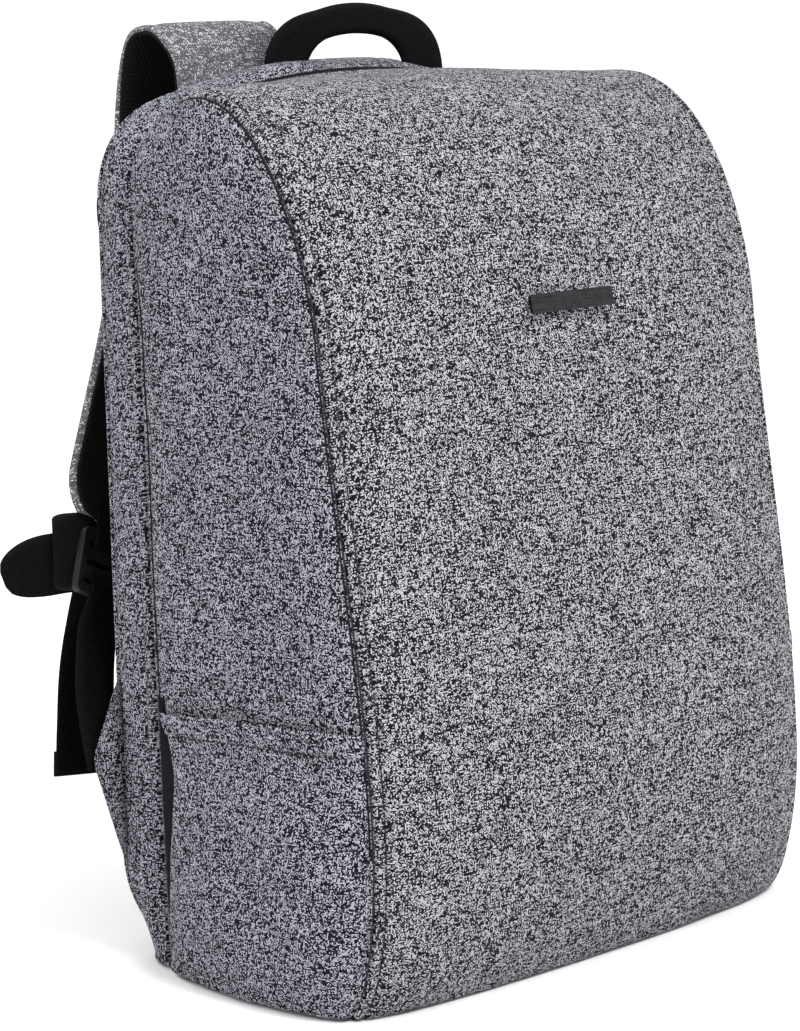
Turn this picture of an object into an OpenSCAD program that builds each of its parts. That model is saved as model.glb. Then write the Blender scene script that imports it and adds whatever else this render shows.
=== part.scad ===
// A soft-sided laptop backpack. The front panel wraps from the base over the top between two D-shaped
// side panels. A shallow back section closes the bag with a hidden zip and folds down at its lower edge.
// X runs across the bag, Y from front to back and Z up. The origin is the middle of the base's underside.

/* [Bag] */
// Width between the two seams of the front panel
bag_w = 300; // [260:5:340]
// Distance of the zip line behind the origin
zip_y = 75; // [72:1:80]
// Depth of the back section behind the zip line
back_depth = 29; // [24:1:32]
// Thickness of the padded outer panels
panel_t = 4; // [3:0.5:5]
// Thickness of the base panel
base_t = 3.5; // [3:0.5:4]

/* [Back section] */
// Half width of the back panel at its lower corners
back_half_w = 150; // [140:1:152]
// Radius of the back panel's upper corners
back_corner_r = 47; // [40:1:55]
// Height of the back panel's crown
crown_z = 434; // [430:1:436]
// Thickness of the breathable back pads
pad_t = 9; // [6:1:10]

/* [Side pockets] */
// Height of the pocket's hem
pocket_h = 136; // [110:2:150]
// How far the pocket stands out from the side panel
pocket_bulge = 13; // [8:1:20]
// Thickness of the pocket's cloth
pocket_t = 2.4; // [2:0.2:3]

/* [Laptop sleeve] */
// Inner width of the sleeve
sleeve_w = 266; // [250:2:270]
// Height of the sleeve's front
sleeve_h = 300; // [260:5:310]
// Inner depth of the sleeve
sleeve_gap = 28; // [22:1:30]

/* [Straps and handle] */
// Width of a shoulder strap
strap_w = 60; // [50:1:66]
// Thickness of a strap's foam
strap_t = 9; // [7:0.5:11]
// Width of the adjusting webbing
webbing_w = 28; // [20:1:30]
// Thickness of all webbing
webbing_t = 1.8; // [1.4:0.1:2.2]
// Lower end of the hanging webbing tail
tail_end_z = 84; // [70:2:110]
// Height of the carry handle's top
handle_top_z = 462; // [455:1:470]

/* [Badge] */
// Width of the plain metal badge
badge_w = 56; // [40:1:70]
// Height of the badge
badge_h = 9; // [7:0.5:12]

/* [Hidden] */

half_w = bag_w / 2;
back_y = zip_y + back_depth;            // rear face of the rear gusset
pads_y = back_y + 3;                    // face that the back pads are sewn to
lining_t = 0.8;

cloth = [0.42, 0.41, 0.45];
black = [0.06, 0.06, 0.07];
board = [0.16, 0.16, 0.17];
inner = [0.13, 0.13, 0.15];
metal = [0.24, 0.24, 0.25];

// ---- curves -------------------------------------------------------------------------------------

function bezier(p, t) = let (u = 1 - t)
    u * u * u * p[0] + 3 * u * u * t * p[1] + 3 * u * t * t * p[2] + t * t * t * p[3];
// A point on a chain of Bezier curves, where s counts the curves
function along(chain, s) = let (k = min(floor(s), len(chain) - 1)) bezier(chain[k], s - k);
function slope(chain, s) = let (d = 0.01, a = max(s - d, 0), b = min(s + d, len(chain)))
    (along(chain, b) - along(chain, a)) / norm(along(chain, b) - along(chain, a));
// The outward normal of a profile in the YZ plane that climbs the front and runs back over the top
function outward(chain, s) = let (d = slope(chain, s)) [-d[1], d[0]];

// Side seam of the front panel, as Y and Z: up the front, round the shoulder and back to the zip
seam_curve = [
    [[-52, 0], [-64, 6], [-73, 40], [-73, 85]],
    [[-73, 85], [-73.5, 150], [-54, 250], [-50, 312]],
    [[-50, 312], [-44, 362], [-16, 420], [27, 422]],
    [[27, 422], [45, 422.5], [62, 416], [zip_y, 407]]
];
// Middle line of the front panel over the same stretches
middle_curve = [
    [[-70, 0], [-80, 5], [-89, 40], [-89, 85]],
    [[-89, 85], [-89.5, 150], [-68, 256], [-62, 318]],
    [[-62, 318], [-53, 374], [-22, 422], [27, 425.5]],
    [[27, 425.5], [45, 427], [60, 428], [zip_y, 428]]
];

// How much of the way from the middle line to the seam the panel has fallen at t from 0 to 1
function fall(s, t) = let (top = s < 2 ? 0 : (s - 2) / 2, a = abs(t))
    (1 - top) * (0.375 * a * a + 0.625 * pow(a, 10)) + top * pow(a, 1.8);
function front_yz(s, t) = let (f = fall(s, t)) along(middle_curve, s) * (1 - f) + along(seam_curve, s) * f;
function front_point(s, t, inset) = let (p = front_yz(s, t) - inset * outward(seam_curve, s))
    [t * half_w, min(p[0], zip_y), max(p[1], 0)];
front_rows = 32;
front_cols = 9;
// Grid of points on the front panel that leaves out the last spare columns at each side
function front_grid(inset, spare) = let (last = front_cols - spare) [
    for (i = [0 : front_rows])
        [for (j = [-last : last]) front_point(4 * i / front_rows, j / front_cols, inset)]
];

// Seam of the side panel as a closed outline, set in from the front panel by inset
function side_outline(inset, rows, low, rear) = concat(
    [for (i = [0 : rows])
        let (p = along(seam_curve, 4 * i / rows) - inset * outward(seam_curve, 4 * i / rows))
        [min(p[0], rear), max(p[1], low)]],
    [[rear, 400 - inset], [rear, low]]
);

// An arch in the XZ plane: straight sides that lean in, round shoulders and a shallow crown.
// low and high are the half widths at the foot and under the shoulder.
function arch_half(low, high, shoulder_z, r, turn, crown, foot_z, n) = concat(
    [[low, foot_z]],
    [for (i = [0 : n]) let (a = turn * i / n) [high - r + r * cos(a), shoulder_z + r * sin(a)]],
    let (x1 = high - r + r * cos(turn), z1 = shoulder_z + r * sin(turn))
    [for (i = [n - 1 : -1 : 0]) let (x = x1 * i / n) [x, crown - (crown - z1) * pow(i / n, 2)]]
);
function mirrored(half) = concat(
    half,
    [for (i = [len(half) - 2 : -1 : 0]) [-half[i][0], half[i][1]]]
);
// The back section's arch at its two ends: k is 0 at the zip line and 1 at the back panel
function back_arch(k, inset, foot_z) = mirrored(arch_half(
    back_half_w - inset, 150 - 5 * k - inset, 379 - 7 * k, 32 + (back_corner_r - 32) * k - inset,
    74 - k, 428 + (crown_z - 428) * k - inset, foot_z, 8
));

// ---- building blocks ----------------------------------------------------------------------------

// A sheet between two grids of points with the same rows and columns
module grid_solid(front, rear) {
    rows = len(front) - 1;
    cols = len(front[0]) - 1;
    layer = (rows + 1) * (cols + 1);
    function id(k, i, j) = k * layer + i * (cols + 1) + j;
    polyhedron(
        points = concat([for (r = front) each r], [for (r = rear) each r]),
        faces = concat(
            [for (i = [0 : rows - 1]) for (j = [0 : cols - 1])
                [id(0, i, j), id(0, i + 1, j), id(0, i + 1, j + 1), id(0, i, j + 1)]],
            [for (i = [0 : rows - 1]) for (j = [0 : cols - 1])
                [id(1, i, j), id(1, i, j + 1), id(1, i + 1, j + 1), id(1, i + 1, j)]],
            [for (i = [0 : rows - 1]) [id(0, i, 0), id(1, i, 0), id(1, i + 1, 0), id(0, i + 1, 0)]],
            [for (i = [0 : rows - 1])
                [id(0, i, cols), id(0, i + 1, cols), id(1, i + 1, cols), id(1, i, cols)]],
            [for (j = [0 : cols - 1]) [id(0, 0, j), id(0, 0, j + 1), id(1, 0, j + 1), id(1, 0, j)]],
            [for (j = [0 : cols - 1])
                [id(0, rows, j), id(1, rows, j), id(1, rows, j + 1), id(0, rows, j + 1)]]
        ),
        convexity = 10
    );
}
// Extrudes a YZ outline along X
module slab_x(x0, x1) { translate([x0, 0, 0]) rotate([90, 0, 90]) linear_extrude(x1 - x0) children(); }
// Extrudes an XZ outline along Y
module slab_y(y0, y1) { translate([0, y1, 0]) rotate([90, 0, 0]) linear_extrude(y1 - y0) children(); }
// A block given by its two corners
module block(a, b) { translate(a) cube(b - a); }
// A rounded rectangle centred on the origin
module pill_2d(w, h, r) {
    square([w - 2 * r, h], center = true);
    square([w, h - 2 * r], center = true);
    for (x = [-1, 1]) for (y = [-1, 1]) translate([x * (w / 2 - r), y * (h / 2 - r)]) circle(r, $fn = 32);
}
module on_side(side) { if (side < 0) mirror([1, 0, 0]) children(); else children(); }

// ---- shell --------------------------------------------------------------------------------------

module front_panel() {
    color(cloth) grid_solid(front_grid(0, 0), front_grid(panel_t, 0));
}
module front_lining() {
    front = panel_t + 0.4;
    color(inner) grid_solid(front_grid(front, 1), front_grid(front + lining_t, 1));
}
module side_panel(side) {
    color(cloth) on_side(side) slab_x(half_w - panel_t, half_w)
        polygon(side_outline(panel_t + 0.2, 32, base_t + 0.1, zip_y));
}
module side_lining(side) {
    color(inner) on_side(side) slab_x(half_w - panel_t - 0.2 - lining_t, half_w - panel_t - 0.2)
        polygon(side_outline(panel_t + 3, 16, base_t + 3, zip_y - 3));
}
// The base reaches back under the back section, so that the bag stands on one flat face
module base_panel() {
    cols = 8;
    front_edge = [for (j = [-cols : cols]) let (p = front_yz(0, j / cols)) [j / cols * half_w, p[0] + 2.6]];
    color(cloth) linear_extrude(base_t) polygon(concat(
        front_edge, [[half_w, back_y], [-half_w, back_y]]
    ));
}
module base_board() {
    color(board) translate([0, 12, base_t + 0.1]) linear_extrude(1.6) pill_2d(bag_w - 14, 116, 12);
}
module side_pocket(side) {
    rows = 8;
    cols = 12;
    rear = zip_y - 8;
    // v climbs from the base to the hem and u runs back from the front seam
    function point(v, u, inset) = let (
        z = pocket_h * v - 6 * u * u * v,
        y = -70 + 4 * v - 5 * pow(1 - v, 2) + 22 * pow(1 - v, 6) + (rear + 68) * u,
        swell = pocket_bulge * pow(sin(180 * pow(u, 0.8)), 0.7) * (0.75 + 0.25 * v)
    ) [half_w + 0.4 + pocket_t + swell - inset + 3 * u, y, z];
    outer = [for (i = [0 : rows]) [for (j = [0 : cols]) point(i / rows, j / cols, 0)]];
    under = [for (i = [0 : rows]) [for (j = [0 : cols]) point(i / rows, j / cols, pocket_t)]];
    color(cloth) on_side(side) grid_solid(outer, under);
}
// Stretch strip that closes the rear edge of the pocket
module pocket_gusset(side) {
    color(black) on_side(side)
        block([half_w + 0.2, zip_y - 8.6, 1], [half_w + 3.1, zip_y - 4.4, pocket_h - 6]);
}
badge_z = 318;
module on_badge() {
    p = front_yz(1.98, 0);
    translate([0, p[0], badge_z]) rotate([-9, 0, 0]) children();
}
module badge_plate() {
    color(metal) on_badge() {
        translate([0, -1.7, 0]) rotate([90, 0, 0]) linear_extrude(1.4) pill_2d(badge_w, badge_h, 1.2);
        for (x = [-1, 1])
            translate([x * badge_w / 3, 5.6, 0]) rotate([90, 0, 0]) cylinder(7.4, r = 0.8, $fn = 24);
    }
}
module badge_backing() {
    color(metal) on_badge() difference() {
        translate([0, 7.4, 0]) rotate([90, 0, 0]) linear_extrude(0.8) pill_2d(badge_w * 0.8, 6, 1);
        for (x = [-1, 1])
            translate([x * badge_w / 3, 8, 0]) rotate([90, 0, 0]) cylinder(3, r = 0.9, $fn = 24);
    }
}
organiser_y = -50;                      // rear face of the organiser pocket
organiser_w = 216;
organiser_z = [44, 166];
organiser_d = 24;
sheet_t = 1.6;                          // thickness of the inner pockets' cloth
module organiser_pocket() {
    x = organiser_w / 2;
    color(black) difference() {
        block([-x, organiser_y - organiser_d, organiser_z[0]], [x, organiser_y, organiser_z[1]]);
        block(
            [sheet_t - x, organiser_y - organiser_d - 1, organiser_z[0] + sheet_t],
            [x - sheet_t, organiser_y - sheet_t, organiser_z[1] + 1]
        );
    }
}
pen_slots = 3;
pen_slot_w = 22;
module pen_sleeve() {
    x0 = 20;
    step = pen_slot_w + sheet_t;
    y = organiser_y + 0.1;
    color(inner) difference() {
        block([x0, y, 66], [x0 + pen_slots * step + sheet_t, y + 7, 158]);
        for (i = [0 : pen_slots - 1])
            block([x0 + sheet_t + step * i, y + sheet_t, 68], [x0 + step * (i + 1), y + 7 - sheet_t, 160]);
    }
}

// ---- zip ----------------------------------------------------------------------------------------

zip_foot = 36;                          // height of the zip's ends
module zip_tape(y0, y1) {
    outer = back_arch(0, 5.4, zip_foot);
    inner_edge = back_arch(0, 12, zip_foot);
    n = len(outer) - 1;
    color(black) slab_y(y0, y1) polygon(concat(outer, [for (i = [n : -1 : 0]) inner_edge[i]]));
}
slider_z = [290, 322];
slider_x = half_w + 1.4;
module zip_slider(z) {
    color(metal) difference() {
        translate([slider_x, zip_y, z]) rotate([0, 90, 0]) linear_extrude(3.2) pill_2d(11, 8, 2.4);
        translate([slider_x + 1.6, zip_y - 5, z + 1.5]) cube([0.7, 10, 2.4]);
    }
}
module zip_pull(z) {
    color(black) translate([slider_x + 3.4, zip_y, z - 14]) rotate([0, 90, 0]) linear_extrude(1.6)
        pill_2d(26, 7, 2.4);
}

// ---- back section -------------------------------------------------------------------------------

foot_z = base_t + 0.5;
module rear_gusset() {
    rows = 3;
    function ring(k, inset) = [for (p = back_arch(k, inset, foot_z))
        [p[0], zip_y + 0.6 + (back_depth - 0.6) * k, p[1]]];
    color(cloth) grid_solid(
        [for (i = [0 : rows]) ring(i / rows, 3)], [for (i = [0 : rows]) ring(i / rows, 0)]
    );
}
module back_sheet(y0, y1, inset) {
    slab_y(y0, y1) polygon(back_arch(1, inset, foot_z + inset));
}
module back_board() {
    color(board) back_sheet(back_y - 3.4, back_y - 1.2, 4);
}
module back_panel() {
    color(black) back_sheet(back_y + 0.1, pads_y - 0.1, 1);
}
module laptop_sleeve() {
    rear = back_y - 3.5;
    front = rear - sleeve_gap;
    wall = 2.4;
    outer_x = sleeve_w / 2 + wall;
    color(inner) difference() {
        block([-outer_x, front - 4.5, 26], [outer_x, rear, 26 + sleeve_h]);
        block([-sleeve_w / 2, front, 29], [sleeve_w / 2, rear + 1, 40 + sleeve_h]);
        translate([0, front, 26 + sleeve_h + 30]) rotate([90, 0, 0]) cylinder(20, r = 62, $fn = 96);
    }
}
pad_x = 62;                             // middle of a long back pad
module back_pad(side) {
    color(black) on_side(side) translate([pad_x, 0, 228]) slab_y(pads_y, pads_y + pad_t) pill_2d(96, 250, 20);
}
module lumbar_pad() {
    color(black) translate([0, 0, 56]) slab_y(pads_y, pads_y + pad_t) pill_2d(236, 78, 20);
}
module strap_anchor(side) {
    color(cloth) on_side(side) slab_y(pads_y, pads_y + 1.8)
        polygon([[16, 372], [86, 372], [82, 418], [20, 422]]);
}
module side_tab(side) {
    color(black) on_side(side) block([136.6, pads_y + 0.1, 353], [138.8, pads_y + 4.2, 379]);
}
// Cloth wing at the foot of the back section that holds the end of the lower webbing
module wing(side) {
    color(cloth) on_side(side) slab_y(back_y - 2.4, back_y + 0.4)
        polygon([[150.2, 60], [168, 103], [150.2, 136]]);
}

// ---- webbing, straps and handle -----------------------------------------------------------------

// A flat strip along a path. Its width stays near X, turned in plan by each station's angle. Each station's
// half width and its two faces, measured along the strip's normal, come from lists.
module strip(path, turns, half_widths, face_a, face_b) {
    n = len(path) - 1;
    function tangent(i) = let (d = path[min(i + 1, n)] - path[max(i - 1, 0)]) d / norm(d);
    function across(i) = let (
        t = tangent(i), lean = [t[0], 0, t[2]], level = [cos(turns[i]), sin(turns[i]), 0],
        w = level - (level * lean) * lean
    ) w / norm(w);
    function normal(i) = let (m = cross(tangent(i), across(i))) m / norm(m);
    function station(i, faces) = [
        for (k = [-1 : 1]) path[i] + across(i) * half_widths[i] * k + normal(i) * faces[i]
    ];
    grid_solid([for (i = [0 : n]) station(i, face_a)], [for (i = [0 : n]) station(i, face_b)]);
}
module webbing(path, width) {
    strip(
        path, [for (p = path) 0], [for (p = path) width / 2], [for (p = path) -webbing_t / 2],
        [for (p = path) webbing_t / 2]
    );
}
// Line between the foam and the mesh of each strap, given as on the right: up from the root to the crest,
// over it, and the hang down to the tip. The left strap stands higher and its crest is turned in plan.
// The root is sewn to the back panel, and the rest swings at the crest.
strap_curve_left = [
    [[50, 114, 392], [50, 114, 432], [48, 114, 448], [46, 136, 448]],
    [[46, 136, 448], [46, 154, 448], [50, 160, 405], [58, 161, 352]],
    [[58, 161, 352], [66, 162, 299], [98, 152, 250], [118, 142, 207]]
];
strap_curve_right = [
    [[50, 114, 392], [50, 114, 420], [49, 118, 430], [50, 141, 430]],
    [[50, 141, 430], [50, 163, 430], [52, 170, 395], [58, 166, 352]],
    [[58, 166, 352], [68, 162, 300], [98, 152, 250], [118, 142, 207]]
];
strap_rows = 24;
crest_row = 8;
root_gap = 4.2;                         // gap between the root and the swinging strap at the crest
root_flare = 5;                         // how much wider each half of the strap is at its root
mesh_t = 2.2;                           // thickness of the strap's mesh face
crest_turn = 33;                        // turn in plan of the left strap's crest, in degrees
function ease(t) = let (c = min(max(t, 0), 1)) c * c * (3 - 2 * c);
function from_crest(list) = [for (i = [crest_row : strap_rows]) list[i]];
function to_crest(list) = [for (i = [0 : crest_row]) list[i]];
function strap_path(side) = let (curve = side < 0 ? strap_curve_left : strap_curve_right)
    [for (i = [0 : strap_rows]) along(curve, 3 * i / strap_rows)];
function strap_turns(side) = [for (i = [0 : strap_rows]) let (s = 3 * i / strap_rows)
    side < 0 ? crest_turn * (s < 1 ? ease((s - 0.45) / 0.55) : 1 - ease((s - 1) / 1.3)) : 0];
// The strap narrows to a round tip and thins out where it is sewn in
strap_halves = [for (i = [0 : strap_rows])
    let (from_tip = (strap_rows - i) / 2, half = strap_w / 2 + root_flare * (1 - ease(1.5 * i / strap_rows)))
    half * (from_tip < 1 ? 0.62 + 0.38 * sqrt(1 - pow(1 - from_tip, 2)) : 1)];
strap_foam = [for (i = [0 : strap_rows]) -strap_t * min(1, 0.35 + 0.65 * i / 6)];
module strap_root(side) {
    path = to_crest(strap_path(side));
    color(cloth) on_side(side) strip(
        [for (i = [0 : crest_row]) path[i] - (i == crest_row ? [0, root_gap, 0] : [0, 0, 0])],
        to_crest(strap_turns(side)), to_crest(strap_halves), to_crest(strap_foam), [for (p = path) mesh_t]
    );
}
module strap_pad(side) {
    path = from_crest(strap_path(side));
    color(cloth) on_side(side) strip(
        path, from_crest(strap_turns(side)), from_crest(strap_halves), from_crest(strap_foam),
        [for (p = path) 0]
    );
}
module strap_mesh(side) {
    path = from_crest(strap_path(side));
    color(black) on_side(side) strip(
        path, from_crest(strap_turns(side)), [for (h = from_crest(strap_halves)) h - 2],
        [for (p = path) 0.3], [for (p = path) mesh_t]
    );
}
// Frame of the ladder lock: Z runs up the strap and X across it
lock_at = [126.4, 137.6, 188.6];
module on_lock(side) { on_side(side) translate(lock_at) rotate([-12, -25, 0]) children(); }
lock_w = 38;
lock_h = 34;
module ladder_lock(side) {
    color(black) on_lock(side) slab_y(-2.4, 2.4) difference() {
        pill_2d(lock_w, lock_h, 4);
        for (z = [9, -1, -10]) translate([0, z]) square([lock_w - 8, 3.6], center = true);
    }
}
module load_webbing(side) {
    color(black) on_lock(side) difference() {
        block([-13, -4.4, 7.2], [13, 4.4, 19.6]);
        block([-14, -2.6, 9], [14, 2.6, 20]);
    }
}
module strap_tail(side) {
    color(black) on_side(side) webbing(
        [[128, 144, 178], [131, 149, 160], [135, 151, 136], [138, 151, 110], [141, 150, tail_end_z]],
        webbing_w
    );
}
// End of the webbing that is left free for a thumb, standing off the ladder lock
module adjuster_tab(side) {
    color(black) on_side(side) translate([130, 147, 191]) rotate([0, 0, 34])
        slab_y(-webbing_t, webbing_t) translate([21, 0]) pill_2d(42, 24, 9);
}
module lower_webbing(side) {
    color(black) on_side(side) webbing(
        [[137, 132, 166], [145, 126, 150], [153, 118, 130], [157, 110, 112]], webbing_w * 0.8
    );
}
handle_y = [100, 102.6];
handle_x = 22;                          // middle of the handle, which sits off the bag's middle
module carry_handle() {
    arch = function(w, top, foot, n) [for (i = [0 : n]) let (a = 180 * i / n)
        [w * cos(a), foot + (top - foot) * pow(sin(a), 0.8)]];
    foot = crown_z - 14;
    color(black) slab_y(handle_y[0], handle_y[1]) difference() {
        translate([handle_x, 0]) polygon(arch(64, handle_top_z, foot, 32));
        translate([handle_x, 0]) polygon(arch(34, handle_top_z - 14, foot - 1, 32));
        polygon(back_arch(1, -0.5, 0));
    }
}
sleeve_strap_z = 346;
module sleeve_strap() {
    rear = back_y - 5;
    front = rear - sleeve_gap - 5;
    color(black) union() {
        block([-15, front - 1.6, sleeve_strap_z - 1], [15, rear, sleeve_strap_z + 1]);
        block([-15, front - 1.6, sleeve_strap_z - 66], [15, front, sleeve_strap_z]);
    }
}

// ---- assembly -----------------------------------------------------------------------------------

front_panel();
front_lining();
side_panel(-1);  // side_panel_left
side_panel(1);  // side_panel_right
side_lining(-1);  // side_lining_left
side_lining(1);  // side_lining_right
base_panel();
base_board();
side_pocket(-1);  // side_pocket_left
side_pocket(1);  // side_pocket_right
pocket_gusset(-1);  // pocket_gusset_left
pocket_gusset(1);  // pocket_gusset_right
badge_plate();
badge_backing();
organiser_pocket();
pen_sleeve();
zip_tape(zip_y - 1.6, zip_y - 0.2);  // zip_tape_shell
rear_gusset();
back_board();
back_panel();
zip_tape(zip_y + 0.8, zip_y + 2.2);  // zip_tape_back
laptop_sleeve();
back_pad(-1);  // back_pad_left
back_pad(1);  // back_pad_right
lumbar_pad();
strap_anchor(-1);  // strap_anchor_left
strap_anchor(1);  // strap_anchor_right
side_tab(-1);  // side_tab_left
side_tab(1);  // side_tab_right
wing(-1);  // wing_left
wing(1);  // wing_right
lower_webbing(-1);  // lower_webbing_left
lower_webbing(1);  // lower_webbing_right
carry_handle();
sleeve_strap();
strap_root(-1);  // strap_root_left
strap_root(1);  // strap_root_right
strap_pad(-1);  // strap_pad_left
strap_mesh(-1);  // strap_mesh_left
load_webbing(-1);  // load_webbing_left
ladder_lock(-1);  // ladder_lock_left
strap_tail(-1);  // strap_tail_left
adjuster_tab(-1);  // adjuster_tab_left
strap_pad(1);  // strap_pad_right
strap_mesh(1);  // strap_mesh_right
load_webbing(1);  // load_webbing_right
ladder_lock(1);  // ladder_lock_right
strap_tail(1);  // strap_tail_right
adjuster_tab(1);  // adjuster_tab_right
zip_slider(slider_z[1]);  // zip_slider_upper
zip_pull(slider_z[1]);  // zip_pull_upper
zip_slider(slider_z[0]);  // zip_slider_lower
zip_pull(slider_z[0]);  // zip_pull_lower
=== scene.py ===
"""Looks of a soft-sided laptop backpack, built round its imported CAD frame.

X runs across the bag, Y from front to back and Z up. Lengths are in millimetres until a mesh is made.
"""
import math

import bmesh
import bpy
import numpy as np
from mathutils import Matrix, Vector, noise


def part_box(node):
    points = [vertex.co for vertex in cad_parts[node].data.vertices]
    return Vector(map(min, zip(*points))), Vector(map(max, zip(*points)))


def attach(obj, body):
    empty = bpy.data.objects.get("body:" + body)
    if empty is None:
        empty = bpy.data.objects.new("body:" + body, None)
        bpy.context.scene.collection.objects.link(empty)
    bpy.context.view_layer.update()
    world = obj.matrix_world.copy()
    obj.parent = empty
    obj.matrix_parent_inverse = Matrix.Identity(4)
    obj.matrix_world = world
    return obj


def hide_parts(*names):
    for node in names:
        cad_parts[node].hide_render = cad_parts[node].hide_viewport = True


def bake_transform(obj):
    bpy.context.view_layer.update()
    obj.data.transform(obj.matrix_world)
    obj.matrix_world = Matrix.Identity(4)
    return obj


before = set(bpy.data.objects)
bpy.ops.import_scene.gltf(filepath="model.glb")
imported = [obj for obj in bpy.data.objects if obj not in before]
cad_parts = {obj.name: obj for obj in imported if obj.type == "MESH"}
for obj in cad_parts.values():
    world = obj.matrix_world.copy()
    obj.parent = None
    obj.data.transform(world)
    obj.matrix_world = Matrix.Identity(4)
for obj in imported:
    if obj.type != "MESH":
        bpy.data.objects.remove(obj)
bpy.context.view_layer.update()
MM = 0.001

# ---- driving sizes, the same as the CAD model's -------------------------------------------------

HALF_W = 150.0          # half the width between the two front seams
ZIP_Y = 75.0
BACK_Y = 104.0          # rear face of the rear gusset
PADS_Y = 107.0          # face that the back pads are sewn to
POCKET_H = 136.0
CROWN = (428.0, 434.0)  # height of the arch's crown at the zip line and at the back panel
SHOULDER = (379.0, 372.0)
CORNER_R = (32.0, 47.0)
TURN = (74.0, 73.0)     # how far the arch's corner turns, in degrees
LOWER_TUCK = 22.0       # how far the back panel's lower corners are rounded inwards
TUCK_H = 48.0           # height over which they are
SEAM_TURN = 50.0        # where on that corner the front seam meets the zip line, in degrees
STRAP_W = 60.0
STRAP_T = 9.0
WEBBING_W = 28.0
WEBBING_T = 1.8
SIDES = (("left", -1), ("right", 1))

SEAM_STRAIGHT = 312.0   # height up to which each row of the side panel is level
# Side seam of the front panel, as Y and Z: up the front, round the shoulder and back to the zip
SEAM_CURVE = (
    ((-52, 0), (-64, 6), (-73, 40), (-73, 85)),
    ((-73, 85), (-73.5, 150), (-54, 250), (-50, 312)),
    ((-50, 312), (-44, 362), (-16, 420), (27, 422)),
    ((27, 422), (45, 422.5), (62, 416), (75, 407)),
)
# Middle line of the front panel over the same stretches
MIDDLE_CURVE = (
    ((-70, 0), (-80, 5), (-89, 40), (-89, 85)),
    ((-89, 85), (-89.5, 150), (-68, 256), (-62, 318)),
    ((-62, 318), (-53, 374), (-22, 422), (27, 425.5)),
    ((27, 425.5), (45, 427), (60, 428), (75, 428)),
)
# Line between the foam and the mesh of each strap, given as on the right: root, crest, and hang to the tip
STRAP_CURVES = {
    "left": (
        ((50, 114, 392), (50, 115, 424), (48, 121, 450), (46, 137, 451)),
        ((46, 137, 451), (46, 155, 451.5), (50, 161, 428), (58, 161, 352)),
        ((58, 161, 352), (66, 162, 299), (98, 152, 250), (118, 142, 207)),
    ),
    "right": (
        ((50, 114, 392), (50, 114, 420), (49, 118, 430), (50, 141, 430)),
        ((50, 141, 430), (50, 163, 430), (52, 170, 395), (58, 166, 352)),
        ((58, 166, 352), (68, 162, 300), (98, 152, 250), (118, 142, 207)),
    ),
}
CREST_TURN = {"left": 33.0, "right": 0.0}   # turn of each strap's crest in plan, in degrees
ROOT_FLARE = 5.0                            # how much wider each half of a strap is at its root
HANDLE_X = 22.0                             # the handle's middle, off the bag's own middle


# ---- camera, light and floor --------------------------------------------------------------------

FLOOR_HALF = 12.0       # in metres, as are all lengths in this section
FLOOR_Z = -0.0004
LIGHTS_AT = Vector((0, 0, 0.22))


def add_camera():
    azimuth, elevation, roll = math.radians(-43.9), math.radians(8.6), math.radians(-2.1)
    distance = 1.556
    target = Vector((-0.041, 0.015, 0.214))
    back = Vector((math.sin(azimuth) * math.cos(elevation), -math.cos(azimuth) * math.cos(elevation),
                   math.sin(elevation)))
    level = Vector((math.cos(azimuth), math.sin(azimuth), 0))
    right = math.cos(roll) * level + math.sin(roll) * back.cross(level)
    data = bpy.data.cameras.new("camera")
    data.sensor_width = 36
    data.lens = 111.8
    camera = bpy.data.objects.new("camera", data)
    bpy.context.scene.collection.objects.link(camera)
    turn = Matrix((right, back.cross(right), back)).transposed().to_4x4()
    camera.matrix_world = Matrix.Translation(target + back * distance) @ turn
    bpy.context.scene.camera = camera


def add_light(name, place, size, watts):
    data = bpy.data.lights.new(name, "AREA")
    data.shape = "DISK"
    data.size = size
    data.energy = watts
    light = bpy.data.objects.new(name, data)
    bpy.context.scene.collection.objects.link(light)
    light.location = place
    light.rotation_euler = (LIGHTS_AT - Vector(place)).to_track_quat("-Z", "Y").to_euler()


def add_studio():
    scene = bpy.context.scene
    scene.view_settings.view_transform = "Standard"
    world = bpy.data.worlds.new("studio")
    world.use_nodes = True
    background = world.node_tree.nodes["Background"]
    background.inputs["Color"].default_value = (1, 1, 1, 1)
    background.inputs["Strength"].default_value = 1.1
    scene.world = world
    add_light("key", (-0.25, -1.7, 2.2), 1.0, 50)
    add_light("rim", (-0.4, 1.2, 2.2), 1.2, 14)
    shader = Shader("floor")
    grain = shader.noise(shader.object_point(), 40, 3)
    shader.finish(shader.ramp(grain, ((0, (0.95, 0.95, 0.95)), (1, (0.97, 0.97, 0.97)))), 0.9)
    mesh = bpy.data.meshes.new("floor")
    corners = [(x * FLOOR_HALF, y * FLOOR_HALF, FLOOR_Z) for x, y in ((-1, -1), (1, -1), (1, 1), (-1, 1))]
    mesh.from_pydata(corners, [], [(0, 1, 2, 3)])
    floor = bpy.data.objects.new("floor", mesh)
    bpy.context.scene.collection.objects.link(floor)
    floor.data.materials.append(shader.material)


# ---- shader helper ------------------------------------------------------------------------------

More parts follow.
